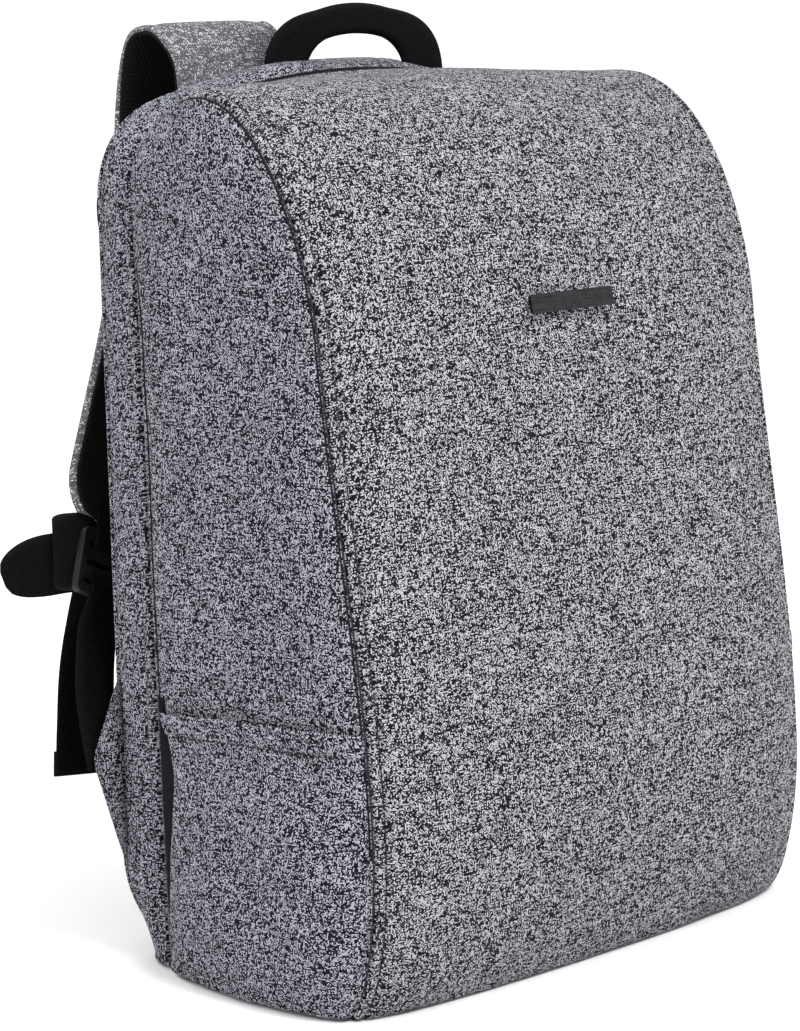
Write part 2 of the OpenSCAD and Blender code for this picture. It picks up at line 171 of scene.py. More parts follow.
class Shader:
    """One material, with short calls that add its nodes and join them."""

    def __init__(self, name):
        self.material = bpy.data.materials.new(name)
        self.material.use_nodes = True
        self.tree = self.material.node_tree
        self.surface = self.tree.nodes["Principled BSDF"]

    def node(self, kind, **settings):
        made = self.tree.nodes.new("ShaderNode" + kind)
        for key, value in settings.items():
            setattr(made, key, value)
        return made

    def put(self, socket, value):
        if isinstance(value, bpy.types.NodeSocket):
            self.tree.links.new(value, socket)
        else:
            socket.default_value = value

    def math(self, operation, a, b=0.0, c=0.0):
        made = self.node("Math", operation=operation)
        for socket, value in zip(made.inputs, (a, b, c)):
            self.put(socket, value)
        return made.outputs[0]

    def add(self, a, b):
        return self.math("ADD", a, b)

    def less(self, a, b):
        return self.math("SUBTRACT", a, b)

    def times(self, a, b):
        return self.math("MULTIPLY", a, b)

    def times_add(self, a, b, c):
        return self.math("MULTIPLY_ADD", a, b, c)

    def vector(self, x, y, z=0.0):
        made = self.node("CombineXYZ")
        for socket, value in zip(made.inputs, (x, y, z)):
            self.put(socket, value)
        return made.outputs[0]

    def split(self, vector):
        made = self.node("SeparateXYZ")
        self.put(made.inputs[0], vector)
        return made.outputs[0], made.outputs[1], made.outputs[2]

    def uv_point(self):
        return self.node("UVMap", uv_map="UVMap").outputs[0]

    def object_point(self):
        return self.node("TexCoord").outputs["Object"]

    def noise(self, vector, scale, detail=2.0):
        made = self.node("TexNoise")
        self.put(made.inputs["Vector"], vector)
        made.inputs["Scale"].default_value = scale
        made.inputs["Detail"].default_value = detail
        return made.outputs[0]

    def white(self, x, y, z=0.0):
        made = self.node("TexWhiteNoise")
        self.put(made.inputs["Vector"], self.vector(x, y, z))
        return made.outputs["Value"]

    def ramp(self, value, stops):
        made = self.node("ValToRGB")
        ramp = made.color_ramp
        while len(ramp.elements) < len(stops):
            ramp.elements.new(0.5)
        for element, (place, colour) in zip(ramp.elements, stops):
            element.position = place
            element.color = (*colour, 1)
        self.put(made.inputs[0], value)
        return made.outputs[0]

    def mix(self, share, a, b):
        made = self.node("Mix", data_type="RGBA")
        self.put(made.inputs[0], share)
        self.put(made.inputs[6], a)
        self.put(made.inputs[7], b)
        return made.outputs[2]

    def choose(self, share, a, b):
        made = self.node("Mix", data_type="FLOAT")
        self.put(made.inputs[0], share)
        self.put(made.inputs[2], a)
        self.put(made.inputs[3], b)
        return made.outputs[0]

    def scaled(self, colour, factor):
        made = self.node("VectorMath", operation="SCALE")
        self.put(made.inputs[0], colour)
        self.put(made.inputs[3], factor)
        return made.outputs[0]

    def finish(self, colour, roughness, height=None, depth=0.3, metallic=0.0, sheen=0.0, specular=0.5):
        self.put(self.surface.inputs["Base Color"], colour)
        self.surface.inputs["Roughness"].default_value = roughness
        self.surface.inputs["Metallic"].default_value = metallic
        self.surface.inputs["Sheen Weight"].default_value = sheen
        self.surface.inputs["Specular IOR Level"].default_value = specular
        if height is not None:
            bump = self.node("Bump")
            bump.inputs["Strength"].default_value = 0.9
            bump.inputs["Distance"].default_value = depth * MM
            self.put(bump.inputs["Height"], height)
            self.put(self.surface.inputs["Normal"], bump.outputs[0])
        return self.material


def crossings(shader, x, y):
    """A plain weave, with x and y counted in threads: the thread's column and row, 1 where the warp is on
    top, and the height."""
    column, row = shader.math("FLOOR", x), shader.math("FLOOR", y)
    warp = shader.math("FLOORED_MODULO", shader.add(column, row), 2.0)
    off_x = shader.math("ABSOLUTE", shader.less(shader.less(x, column), 0.5))
    off_y = shader.math("ABSOLUTE", shader.less(shader.less(y, row), 0.5))
    across = shader.choose(warp, off_y, off_x)
    lengthways = shader.choose(warp, off_x, off_y)
    dip = shader.add(shader.times(shader.math("POWER", across, 2.0), 2.6),
                     shader.times(shader.math("POWER", lengthways, 2.0), 1.2))
    return column, row, warp, shader.less(1.0, dip)


# ---- materials ----------------------------------------------------------------------------------

WARP_PITCH = 0.68               # from one thread to the next
WEFT_PITCH = 0.64
RUN_UP, RUN_ACROSS = 3.5, 5.0   # crossings over which a thread keeps its tone


def heather(name, dark, light, contrast):
    """Melange cloth: dark and light fibres spun together, so each thread changes tone along its length."""
    shader = Shader(name)
    point = shader.uv_point()
    wobble = shader.less(shader.noise(point, 130, 2), 0.5)
    u, v, _ = shader.split(point)
    x = shader.add(shader.times(u, 1 / (WARP_PITCH * MM)), wobble)
    y = shader.less(shader.times(v, 1 / (WEFT_PITCH * MM)), wobble)
    column, row, warp, height = crossings(shader, x, y)
    start_x = shader.times(shader.white(column, 3.0), 40.0)
    start_y = shader.times(shader.white(row, 5.0), 40.0)
    warp_part = shader.math("FLOOR", shader.times_add(y, 1 / RUN_UP, start_x))
    weft_part = shader.math("FLOOR", shader.times_add(x, 1 / RUN_ACROSS, start_y))
    warp_tone, weft_tone = shader.white(column, warp_part, 11.0), shader.white(weft_part, row, 23.0)
    thread_tone = shader.choose(warp, weft_tone, warp_tone)
    spot = shader.white(column, row, 31.0)
    patches = shader.less(shader.noise(point, 24, 3), 0.5)
    tone = shader.add(shader.times(spot, 0.56), shader.times(thread_tone, 0.44))
    tone = shader.add(tone, shader.times(patches, 0.07))
    tone = shader.times_add(warp, -0.10, shader.add(tone, 0.05))
    tone = shader.times_add(shader.less(tone, 0.5), contrast, 0.5)
    low = tuple(a * 0.98 + b * 0.02 for a, b in zip(dark, light))
    middle = tuple(a * 0.90 + b * 0.10 for a, b in zip(dark, light))
    colour = shader.ramp(tone, ((0.15, dark), (0.40, low), (0.58, middle), (0.90, light)))
    shade = shader.times_add(height, 0.95, 0.08)
    fibre = shader.times_add(shader.noise(point, 2600, 1), 0.5, 0.75)
    colour = shader.scaled(shader.scaled(colour, shade), fibre)
    lift = shader.add(height, shader.times(spot, 0.5))
    return shader.finish(colour, 0.9, lift, 0.35, specular=0.08)


def plain_cloth(name, dark, light, thread=0.45, roughness=0.8, sheen=0.1):
    """Even weave whose threads differ only slightly in tone."""
    shader = Shader(name)
    u, v, _ = shader.split(shader.uv_point())
    x, y = (shader.times(way, 1 / (thread * MM)) for way in (u, v))
    column, row, _, height = crossings(shader, x, y)
    spread = shader.noise(shader.uv_point(), 45, 4)
    tone = shader.times_add(shader.white(column, row), 0.35, shader.times(spread, 0.65))
    colour = shader.ramp(tone, ((0.2, dark), (0.8, light)))
    # Darker where the threads dip between crossings: painted shade between the threads.
    colour = shader.scaled(colour, shader.times_add(height, 0.5, 0.6))
    return shader.finish(colour, roughness, height, 0.12, sheen=sheen, specular=0.12)


def ribbed_webbing(name):
    """Black webbing with fine ribs across it and a slanting twill."""
    shader = Shader(name)
    u, v, _ = shader.split(shader.uv_point())
    rib = shader.math("SINE", shader.times(v, 2 * math.pi / (1.5 * MM)))
    slant = shader.times(shader.add(u, shader.times(v, 0.5)), 2 * math.pi / (1.9 * MM))
    slant = shader.math("SINE", slant)
    height = shader.times_add(slant, 0.35, shader.times(rib, 0.65))
    spread = shader.noise(shader.uv_point(), 300, 3)
    # Paler on the raised ribs and twill and darker between them: painted highlight and shade, besides the
    # random tone of spread.
    tone = shader.times_add(height, 0.25, spread)
    colour = shader.ramp(tone, ((0.2, (0.0012, 0.0012, 0.0016)), (0.9, (0.005, 0.005, 0.006))))
    return shader.finish(colour, 0.65, height, 0.08, specular=0.05)


def open_mesh(name, cell=2.6):
    """Knitted spacer mesh: rows of holes, each row set off by half a hole."""
    hole, yarn_low, yarn_high = (0.0005, 0.0005, 0.0006, 1), (0.0036, 0.0036, 0.0042), (0.006, 0.006, 0.007)
    shader = Shader(name)
    point = shader.uv_point()
    u, v, _ = shader.split(point)
    x = shader.times(u, 1 / (cell * MM))
    y = shader.times(v, 1 / (cell * 0.8 * MM))
    odd = shader.math("FLOORED_MODULO", shader.math("FLOOR", y), 2.0)
    x = shader.times_add(odd, 0.5, x)
    off = [shader.math("ABSOLUTE", shader.less(shader.math("FRACT", way), 0.5)) for way in (x, y)]
    squares = [shader.math("POWER", way, 2.0) for way in off]
    reach = shader.math("SQRT", shader.add(*squares))
    wall = shader.node("MapRange", interpolation_type="SMOOTHSTEP")
    shader.put(wall.inputs[0], reach)
    wall.inputs[1].default_value, wall.inputs[2].default_value = 0.20, 0.42
    height = wall.outputs[0]
    yarn = shader.noise(point, 1500, 2)
    # The holes take the near-black hole colour: painted shade inside the holes.
    colour = shader.mix(height, hole, shader.ramp(yarn, ((0.3, yarn_low), (0.75, yarn_high))))
    return shader.finish(colour, 0.75, height, 0.5, specular=0.10)


def moulded_plastic(name):
    shader = Shader(name)
    point = shader.object_point()
    grain = shader.noise(point, 2200, 3)
    wear = shader.noise(point, 90, 4)
    colour = shader.ramp(wear, ((0.3, (0.005, 0.005, 0.006)), (0.8, (0.011, 0.011, 0.012))))
    return shader.finish(colour, 0.45, grain, 0.05, specular=0.22)


def dark_plated(name):
    """Dark plated metal with fine brush lines along X and paler worn spots."""
    shader = Shader(name)
    x, y, z = shader.split(shader.object_point())
    stretched = shader.vector(shader.times(x, 60.0), shader.times(y, 900.0), shader.times(z, 2600.0))
    lines = shader.noise(stretched, 1.0, 3)
    wear = shader.noise(shader.object_point(), 260, 4)
    tone = shader.times_add(lines, 0.6, shader.times(wear, 0.4))
    colour = shader.ramp(tone, ((0.3, (0.016, 0.016, 0.018)), (0.7, (0.06, 0.06, 0.063))))
    return shader.finish(colour, 0.34, lines, 0.04, metallic=1.0)


def fibre_board(name):
    shader = Shader(name)
    flecks = shader.noise(shader.object_point(), 700, 4)
    colour = shader.ramp(flecks, ((0.3, (0.02, 0.02, 0.021)), (0.7, (0.045, 0.045, 0.047))))
    return shader.finish(colour, 0.6, flecks, 0.08)


def sewing_thread(name, dark, light):
    """Twisted thread, with a slanting line round each stitch."""
    shader = Shader(name)
    x, y, z = shader.split(shader.object_point())
    slant = shader.add(shader.add(x, y), z)
    twist = shader.math("SINE", shader.times(slant, 9000.0))
    # Darker in the twist's grooves and paler on its ridges: painted shade and highlight along the plies.
    colour = shader.ramp(shader.times_add(twist, 0.5, 0.5), ((0.1, dark), (0.9, light)))
    return shader.finish(colour, 0.7, twist, 0.08, specular=0.12)


def make_materials():
    navy = (0.008, 0.008, 0.014)    # linear colours, as everywhere in this file
    return {
        # front and side are one heather cloth in two copies: the front's paler light fibres are painted
        # light, as the front panel faces the key light.
        "front": heather("heather_front", navy, (0.585, 0.575, 0.62), 3.0),
        "side": heather("heather_side", navy, (0.53, 0.535, 0.605), 3.0),
        "strap": heather("heather_strap", (0.10, 0.10, 0.112), (0.86, 0.845, 0.89), 0.9),
        "lining": plain_cloth("lining", (0.02, 0.02, 0.028), (0.05, 0.05, 0.062), sheen=0.3),
        "stretch": plain_cloth("stretch_lining", (0.002, 0.002, 0.003), (0.007, 0.007, 0.009), roughness=0.9,
                               sheen=0.0),
        "back": plain_cloth("back_cloth", (0.006, 0.006, 0.007), (0.02, 0.02, 0.022), thread=0.7),
        "tape": plain_cloth("zip_tape", (0.004, 0.004, 0.005), (0.012, 0.012, 0.014), thread=0.6),
        "webbing": ribbed_webbing("webbing"),
        "mesh": open_mesh("spacer_mesh"),
        "pocket_mesh": open_mesh("pocket_mesh", cell=1.8),
        "plastic": moulded_plastic("buckle_plastic"),
        "metal": dark_plated("dark_metal"),
        "board": fibre_board("stiff_board"),
        "thread": sewing_thread("dark_thread", (0.012, 0.012, 0.016), (0.05, 0.05, 0.06)),
        # Black thread of the seam and zip cords, which also paint the shade in those grooves.
        "black_thread_and_shade": sewing_thread("black_thread_and_shade", (0.003, 0.003, 0.004), (0.016, 0.016, 0.018)),
    }


# ---- curves -------------------------------------------------------------------------------------

def along(chain, s):
    """Points on a chain of Bezier curves, where s counts the curves."""
    s = np.atleast_1d(np.asarray(s, float))
    part = np.clip(np.floor(s).astype(int), 0, len(chain) - 1)
    t = (s - part)[:, None]
    p = np.array(chain, float)[part]
    u = 1 - t
    return u**3 * p[:, 0] + 3 * u * u * t * p[:, 1] + 3 * u * t * t * p[:, 2] + t**3 * p[:, 3]


def smooth(t):
    t = np.clip(t, 0, 1)
    return t * t * (3 - 2 * t)


def profile(distance, points):
    """Height at a distance from an edge, from a short list of (distance, height)."""
    d, h = zip(*points)
    return np.interp(distance, d, h)


def length_along(points):
    steps = np.linalg.norm(np.diff(points, axis=0), axis=1)
    return np.concatenate(([0], np.cumsum(steps)))


def unit(vectors):
    return vectors / np.linalg.norm(vectors, axis=-1)[..., None]


def directions_along(points):
    """Unit direction of travel at each point of a line."""
    return unit(np.gradient(points, axis=0))


def uv_grid(across, lengthways):
    return np.stack(np.meshgrid(across, lengthways), 2)


def loop_round(outline, count):
    """Evenly spaced points round a closed outline, without the repeated last one."""
    return resample(np.concatenate((outline, outline[:1])), count)[:-1]


def resample(points, count):
    points = np.asarray(points, float)
    run = length_along(points)
    at = np.linspace(0, run[-1], count)
    return np.stack([np.interp(at, run, points[:, k]) for k in range(points.shape[1])], 1)


def rounded_outline(w, h, r, steps=8):
    """A rounded rectangle round the origin, anticlockwise."""
    corners = ((1, 1), (-1, 1), (-1, -1), (1, -1))
    return np.array([
        (sx * (w / 2 - r) + r * math.cos(math.radians(90 * (k + i / steps))),
         sy * (h / 2 - r) + r * math.sin(math.radians(90 * (k + i / steps))))
        for k, (sx, sy) in enumerate(corners) for i in range(steps + 1)
    ])


def arch(k, inset, foot):
    """The back section's arch in X and Z, from the right foot over the crown to the left foot. k is 0 at the
    zip line and 1 at the back panel. The number of points never changes."""
    def between(pair):
        return pair[0] + (pair[1] - pair[0]) * k
    shoulder, r, turn = between(SHOULDER), between(CORNER_R) - inset, math.radians(between(TURN))
    high = HALF_W - 5 * k - inset
    crown = between(CROWN) - inset
    n_side, n_corner, n_crown = 80, 14, 30
    tuck = LOWER_TUCK * k * k
    side = [(HALF_W - inset + (high - HALF_W + inset) * i / n_side
             - tuck * max(0, 1 - (shoulder - foot) * i / n_side / TUCK_H) ** 2,
             foot + (shoulder - foot) * i / n_side) for i in range(n_side)]
    corner = [(high - r + r * math.cos(turn * i / n_corner), shoulder + r * math.sin(turn * i / n_corner))
              for i in range(n_corner)]
    x1, z1 = high - r + r * math.cos(turn), shoulder + r * math.sin(turn)
    top = [(x1 * i / n_crown, crown - (crown - z1) * (i / n_crown) ** 2) for i in range(n_crown, -1, -1)]
    half = np.array(side + corner + top)
    return np.concatenate((half, (half[:-1] * (-1, 1))[::-1]))


def arch_out(points):
    """Outward unit normals of an arch's points in X and Z."""
    d = np.gradient(points, axis=0)
    return unit(np.stack((d[:, 1], -d[:, 0]), 1))


# ---- mesh building ------------------------------------------------------------------------------

def new_piece(name, points, faces, uvs, materials, merge=0.0, closed=False):
    """A mesh object from points in millimetres. uvs holds one pair in millimetres for each face corner."""
    mesh = bpy.data.meshes.new(name)
    mesh.from_pydata([tuple(p) for p in np.asarray(points) * MM], [], faces)
    layer = mesh.uv_layers.new(name="UVMap")
    layer.data.foreach_set("uv", (np.asarray(uvs, np.float32) * MM).ravel())
    for material in materials:
        mesh.materials.append(material)
    mesh.polygons.foreach_set("use_smooth", [True] * len(mesh.polygons))
    piece = bpy.data.objects.new(name, mesh)
    bpy.context.scene.collection.objects.link(piece)
    if merge or closed:
        work = bmesh.new()
        work.from_mesh(mesh)
        if merge:
            bmesh.ops.remove_doubles(work, verts=work.verts, dist=merge * MM)
            bmesh.ops.dissolve_degenerate(work, dist=merge * MM * 0.5, edges=work.edges)
        if closed:
            bmesh.ops.recalc_face_normals(work, faces=work.faces)
        work.to_mesh(mesh)
        work.free()
    return piece


def grid_piece(name, points, uvs, material, closed=False, caps=False, flip=False, merge=0.0):
    """A surface through rows and columns of points. uvs has one more column than points if it's closed."""
    rows, cols = points.shape[:2]
    faces, corners = [], []
    for i in range(rows - 1):
        for j in range(cols if closed else cols - 1):
            k = (j + 1) % cols
            faces.append((i * cols + j, i * cols + k, (i + 1) * cols + k, (i + 1) * cols + j))
            corners.append(((i, j), (i, j + 1), (i + 1, j + 1), (i + 1, j)))
    if caps:
        for i in (0, rows - 1):
            ring = [(i, j) for j in range(cols)]
            ring = ring[::-1] if i == 0 else ring
            faces.append(tuple(a * cols + b for a, b in ring))
            corners.append(tuple(ring))
    if flip:
        faces = [f[::-1] for f in faces]
        corners = [c[::-1] for c in corners]
    flat = [uvs[a, b] for c in corners for a, b in c]
    return new_piece(name, points.reshape(-1, 3), faces, flat, [material], merge, closed)


def thicken(piece, thickness, inner=None):
    """Gives a surface its cloth's thickness on the inner side, where another material may show."""
    solid = piece.modifiers.new("thickness", "SOLIDIFY")
    solid.thickness = thickness * MM
    solid.offset = -1
    if inner is not None:
        piece.data.materials.append(inner)
        solid.material_offset = 1
    return piece


def apply_modifiers(piece):
    graph = bpy.context.evaluated_depsgraph_get()
    made = bpy.data.meshes.new_from_object(piece.evaluated_get(graph))
    piece.modifiers.clear()
    old = piece.data
    piece.data = made
    bpy.data.meshes.remove(old)
    return piece


def normals_of(points):
    """Unit normals of a grid of points, along columns cross rows."""
    n = np.cross(np.gradient(points, axis=1), np.gradient(points, axis=0))
    size = np.linalg.norm(n, axis=2)[..., None]
    return n / np.maximum(size, 1e-9)


def rumple(points, normals, height, wavelength, seed, weight=1.0):
    """Moves points by soft noise along their normals, as cloth isn't ever quite flat."""
    offset = Vector((seed, 0, seed))
    shift = np.array([[noise.noise(Vector(p) / wavelength + offset) for p in row] for row in points])
    return points + normals * (shift * height * weight)[..., None]


def pillow(name, outline, rings, place, material):
    """A closed form on a flat outline. rings are (scale, height) from the middle of one face round the edge
    to the middle of the other, and place puts outline coordinates and height into the frame."""
    outline = np.asarray(outline, float)
    middle = (outline.min(0) + outline.max(0)) / 2
    rows, uvs = [], []
    for scale, height in rings:
        flat = middle + (outline - middle) * scale
        rows.append([place(a, b, height) for a, b in flat])
        uvs.append(np.concatenate((flat, flat[:1])))
    return grid_piece(name, np.array(rows, float), np.array(uvs, float), material, closed=True, caps=True)


def frames_along(path, wide):
    """Tangent, width and face directions at each station of a strip whose width stays near one direction."""
    wide = np.array(wide, float)
    tangent = directions_along(path)
    width = unit(wide - (tangent @ wide)[:, None] * tangent)
    return tangent, width, np.cross(tangent, width)


def strip_piece(name, path, sections, material, wide=(1, 0, 0), side=1, directions=None):
    """A closed strip: each station has a section, a loop of (across, height) pairs."""
    path = np.asarray(path, float)
    _, width, face = directions if directions is not None else frames_along(path, wide)
    sections = np.asarray(sections, float)
    points = path[:, None] + width[:, None] * sections[..., :1] + face[:, None] * sections[..., 1:]
    points = points * (side, 1, 1)
    uvs = uv_grid(length_along(np.concatenate((sections[0], sections[0][:1]))), length_along(path))
    return grid_piece(name, points, uvs, material, closed=True, caps=True)


def webbing_section(width, thickness, edge=0.35):
    """A flat section with rounded edges, as a closed loop of (across, height) pairs."""
    w, t = width / 2, thickness / 2
    e = min(edge * thickness, t)
    return [(-w + e, -t), (-w / 2, -t), (0, -t), (w / 2, -t), (w - e, -t), (w, -t + e), (w, t - e),
            (w - e, t), (w / 2, t), (0, t), (-w / 2, t), (-w + e, t), (-w, t - e), (-w, -t + e)]


def seam_shade_cord(name, path, out, material, body, sink, radius=0.5):
    """A dark cord along a seam or a fold: partly dark thread, and partly painted shade that stands for the
    shadow in the groove. sink is how deep its middle lies below the path.
    """
    beside = unit(np.cross(directions_along(path), out))
    turns = np.radians(np.arange(0, 360, 60))
    points = np.array([[p - o * sink + b * radius * math.cos(a) + o * radius * math.sin(a) for a in turns]
                       for p, o, b in zip(path, out, beside)])
    uvs = uv_grid(np.linspace(0, 2 * math.pi * radius, 7), length_along(path))
    cord = grid_piece(name, points, uvs, material, closed=True, caps=True)
    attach(cord, body)


STITCH_PITCH = 3.6
STITCH_GAP = 0.7
STITCH_R = 0.46
STITCH_FAT = (0.55, 1, 1, 0.55)             # share of the radius at a stitch's four stations
STITCH_RISE = (-0.6, 0.35, 0.35, -0.6)      # their height, in radii


def stitches(name, path, out, material, body, sink=0.1):
    """A row of sewn stitches along a path. out holds the surface's outward directions along it."""
    run = length_along(path)
    points, faces = [], []
    ring = [(math.cos(math.radians(60 * k)), math.sin(math.radians(60 * k))) for k in range(6)]
    for n in range(int((run[-1] - STITCH_PITCH) / STITCH_PITCH)):
        start, end = n * STITCH_PITCH + STITCH_GAP / 2, (n + 1) * STITCH_PITCH - STITCH_GAP / 2
        at = np.linspace(start, end, 4) + 0.5 * STITCH_PITCH
        line = np.stack([np.interp(at, run, path[:, k]) for k in range(3)], 1)
        up = np.array([np.interp(at[1], run, out[:, k]) for k in range(3)])
        up = unit(up)
        beside = np.cross(unit(line[-1] - line[0]), up)
        base = len(points)
        for spot, fat, rise in zip(line, STITCH_FAT, STITCH_RISE):
            centre = spot + up * (rise * STITCH_R - sink)
            wide = STITCH_R * fat
            points += [centre + beside * (a * wide) + up * (b * wide * 0.8) for a, b in ring]
        for low in (base, base + 6, base + 12):
            for k in range(6):
                m = (k + 1) % 6
                faces.append((low + k, low + m, low + 6 + m, low + 6 + k))
        faces.append(tuple(base + k for k in range(5, -1, -1)))
        faces.append(tuple(base + 18 + k for k in range(6)))
    uvs = [(0, 0)] * sum(len(f) for f in faces)
    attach(new_piece(name, points, faces, uvs, [material]), body)


def dress(piece, body, slot, *nodes):
    """Puts a piece on its body and hides the CAD nodes that it stands for. slot, the name of its finish, is
    not used.
    """
    if body:
        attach(piece, body)
    if nodes:
        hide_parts(*nodes)
    return piece


# ---- shell surfaces -----------------------------------------------------------------------------

SEAM_END = (
    HALF_W - CORNER_R[0] + CORNER_R[0] * math.cos(math.radians(SEAM_TURN)),
    SHOULDER[0] + CORNER_R[0] * math.sin(math.radians(SEAM_TURN)),
)


def arch_height(x):
    """Height of the zip line's arch over X."""
    half = arch(0, 0, 0)
    half = half[half[:, 0] >= -1e-6][::-1]
    return np.interp(np.abs(x), half[:, 0], half[:, 1])


def fall(s, t):
    """Share of the way from the front panel's middle line (t = 0) to its seam (t = 1)."""
    top = np.where(s < 2, 0, (s - 2) / 2)
    return (1 - top) * (0.375 * t * t + 0.625 * t**10) + top * t**1.8


def front_surface(s, t):
    """Points of the front panel: s climbs from the base to the zip, and t runs across from -1 to 1."""
    s, t = np.broadcast_arrays(np.asarray(s, float), np.asarray(t, float))
    shape = s.shape
    s, t = s.ravel(), t.ravel()
    f = fall(s, np.abs(t))[:, None]
    yz = along(MIDDLE_CURVE, s) * (1 - f) + along(SEAM_CURVE, s) * f
    pull = smooth((s - 2.5) / 1.5)
    x = t * (HALF_W + (SEAM_END[0] - HALF_W) * pull)
    end_f = np.abs(t) ** 1.8
    end_z = MIDDLE_CURVE[3][3][1] * (1 - end_f) + SEAM_CURVE[3][3][1] * end_f
    z = yz[:, 1] + pull * (arch_height(t * SEAM_END[0]) - end_z)
    return np.stack((x, yz[:, 0], np.maximum(z, 0)), 1).reshape(*shape, 3)


SEAM_SAMPLES = np.linspace(0, 4, 400)
SEAM_LINE = front_surface(SEAM_SAMPLES, np.ones(len(SEAM_SAMPLES)))


def seam_y(z):
    """Y of the front seam at a height below the shoulder."""
    low = SEAM_SAMPLES <= 2
    return np.interp(z, SEAM_LINE[low][:, 2], SEAM_LINE[low][:, 1])


# How the cloth rises and sinks beside a seam, as (distance, height)
FRONT_SEAM = ((0, -2.8), (0.6, -1.9), (1.2, -0.5), (1.9, 0.3), (2.8, 0.75), (3.8, 0.75), (4.5, 0.5),
              (5.2, -0.1), (5.8, -1.5), (6.3, -1.2), (7, 0.15), (8.2, 0.6), (12, 0.3), (18, 0))
TOPSTITCH = 6.0
ZIP_ROLL = ((0, -5.0), (0.5, -2.6), (1.2, -0.9), (2.4, 0.3), (4.2, 0.6), (5.6, 0.3), (6.3, -0.5), (7.0, 0.2),
            (9, 0.4), (14, 0))


def front_columns():
    """Places across the front panel, close together at the seams."""
    edge = [0, 0.6, 1.2, 1.9, 2.8, 3.8, 4.5, 5.2, 5.8, 6.3, 7, 8.2, 10, 12.5, 16, 20]
    side = [-(HALF_W - d * 0.82) for d in edge]
    middle = np.linspace(side[-1], -side[-1], 56)[1:-1]
    return np.concatenate((side, middle, [-x for x in side[::-1]])) / HALF_W


def front_rows():
    """Places up the front panel, close together at the zip."""
    end = 4 - np.array([0, 0.3, 0.7, 1.3, 2.2, 3.3, 4.4, 5.3, 5.9, 6.4, 7.2, 8.6, 10.5, 13, 16]) / 52
    return np.concatenate((np.linspace(0, 3, 124), np.linspace(3, end[-1], 12)[1:-1], end[::-1]))


def build_front(materials):
    s, t = front_rows(), front_columns()
    points = front_surface(s[:, None], t[None, :])
    normals = normals_of(points)
    run_across = np.array([length_along(row) for row in points])
    from_seam = np.minimum(run_across, run_across[:, -1:] - run_across)
    run_up = np.array([length_along(column) for column in points.transpose(1, 0, 2)]).T
    from_zip = run_up[-1:] - run_up
    calm = smooth(from_seam / 25) * smooth(from_zip / 25)
    points = rumple(points, normals, 1.5, 70, 3.0, calm)
    points = rumple(points, normals, 0.5, 24, 9.0, calm)
    lift = profile(from_seam, FRONT_SEAM) * smooth(from_zip / 4 + 0.3) + profile(from_zip, ZIP_ROLL)
    points = points + normals * lift[..., None]
    points[..., 2] = np.maximum(points[..., 2], 0.2)
    uvs = np.stack((run_across - run_across[:, -1:] / 2, np.broadcast_to(run_up[:, [38]], run_up.shape)), 2)
    panel = grid_piece("front_cloth", points, uvs, materials["front"])
    thicken(panel, 3.6, materials["lining"])
    dress(panel, "shell", "heather_cloth", "front_panel")

    for name, side in SIDES:
        column = int(np.argmin(np.abs(from_seam[60, :45] - TOPSTITCH)))
        column = column if side < 0 else -1 - column
        keep = slice(2, -9)
        stitches(f"front_topstitch_{name}", points[keep, column], normals[keep, column], materials["thread"],
                 "shell", sink=-0.15)
        edge = 0 if side < 0 else -1
        # A dark cord in the seam's groove: partly the seam thread, partly painted shade for the groove's
        # shadow.
        seam_shade_cord(f"seam_shade_cord_{name}", points[keep, edge], normals[keep, edge], materials["thread"], "shell",
                  sink=-0.9)
    row = len(s) - 9
    inner = slice(14, -14)
    stitches("front_zip_topstitch", points[row, inner], normals[row, inner], materials["thread"], "shell",
             sink=-0.15)

    inset = 4.6
    coarse_s, coarse_t = np.linspace(0.06, 3.96, 70), np.linspace(-0.955, 0.955, 32)
    inside = front_surface(coarse_s[:, None], coarse_t[None, :])
    inward = -normals_of(inside)
    inside = rumple(inside + inward * inset, inward, 1.4, 45, 5.0)
    run = np.array([length_along(row) for row in inside])
    up = np.array([length_along(column) for column in inside.transpose(1, 0, 2)]).T
    lining = grid_piece("front_lining_cloth", inside, np.stack((run, up), 2), materials["lining"], flip=True)
    thicken(lining, 0.6)
    lining.modifiers["thickness"].offset = 1
    dress(lining, "shell", "lining_cloth", "front_lining")


def rear_edge(s):
    """Where each row of the side panel meets the zip line, as X and Z."""
    s = np.asarray(s, float)
    low_z = np.interp(s, SEAM_SAMPLES, SEAM_LINE[:, 2])
    r = CORNER_R[0]
    climb = SHOULDER[0] - SEAM_STRAIGHT
    run = smooth((s - 2) / 2) * (climb + r * math.radians(SEAM_TURN))
    angle = np.clip((run - climb) / r, 0, None)
    x = HALF_W - r + r * np.cos(angle)
    z = np.where(s < 2, low_z, np.where(run < climb, SEAM_STRAIGHT + run, SHOULDER[0] + r * np.sin(angle)))
    return np.stack((x, z), -1)


SIDE_SWELL = 6.5


def swell(from_front, from_rear, from_base):
    """How far the side panel stands out, at distances from its three edges."""
    return (SIDE_SWELL * (1 - np.exp(-from_front / 14)) * (1 - np.exp(-from_rear / 10))
            * (1 - np.exp(-(from_base + 4) / 14)))


def side_x(y, z):
    """X of the right side panel below the shoulder."""
    return HALF_W + swell(y - seam_y(z), ZIP_Y - y, z)


SIDE_SEAM = ((0, -2.8), (0.7, -1.8), (1.5, -0.3), (2.6, 0.3), (4, 0.5), (6, 0.25), (10, 0))


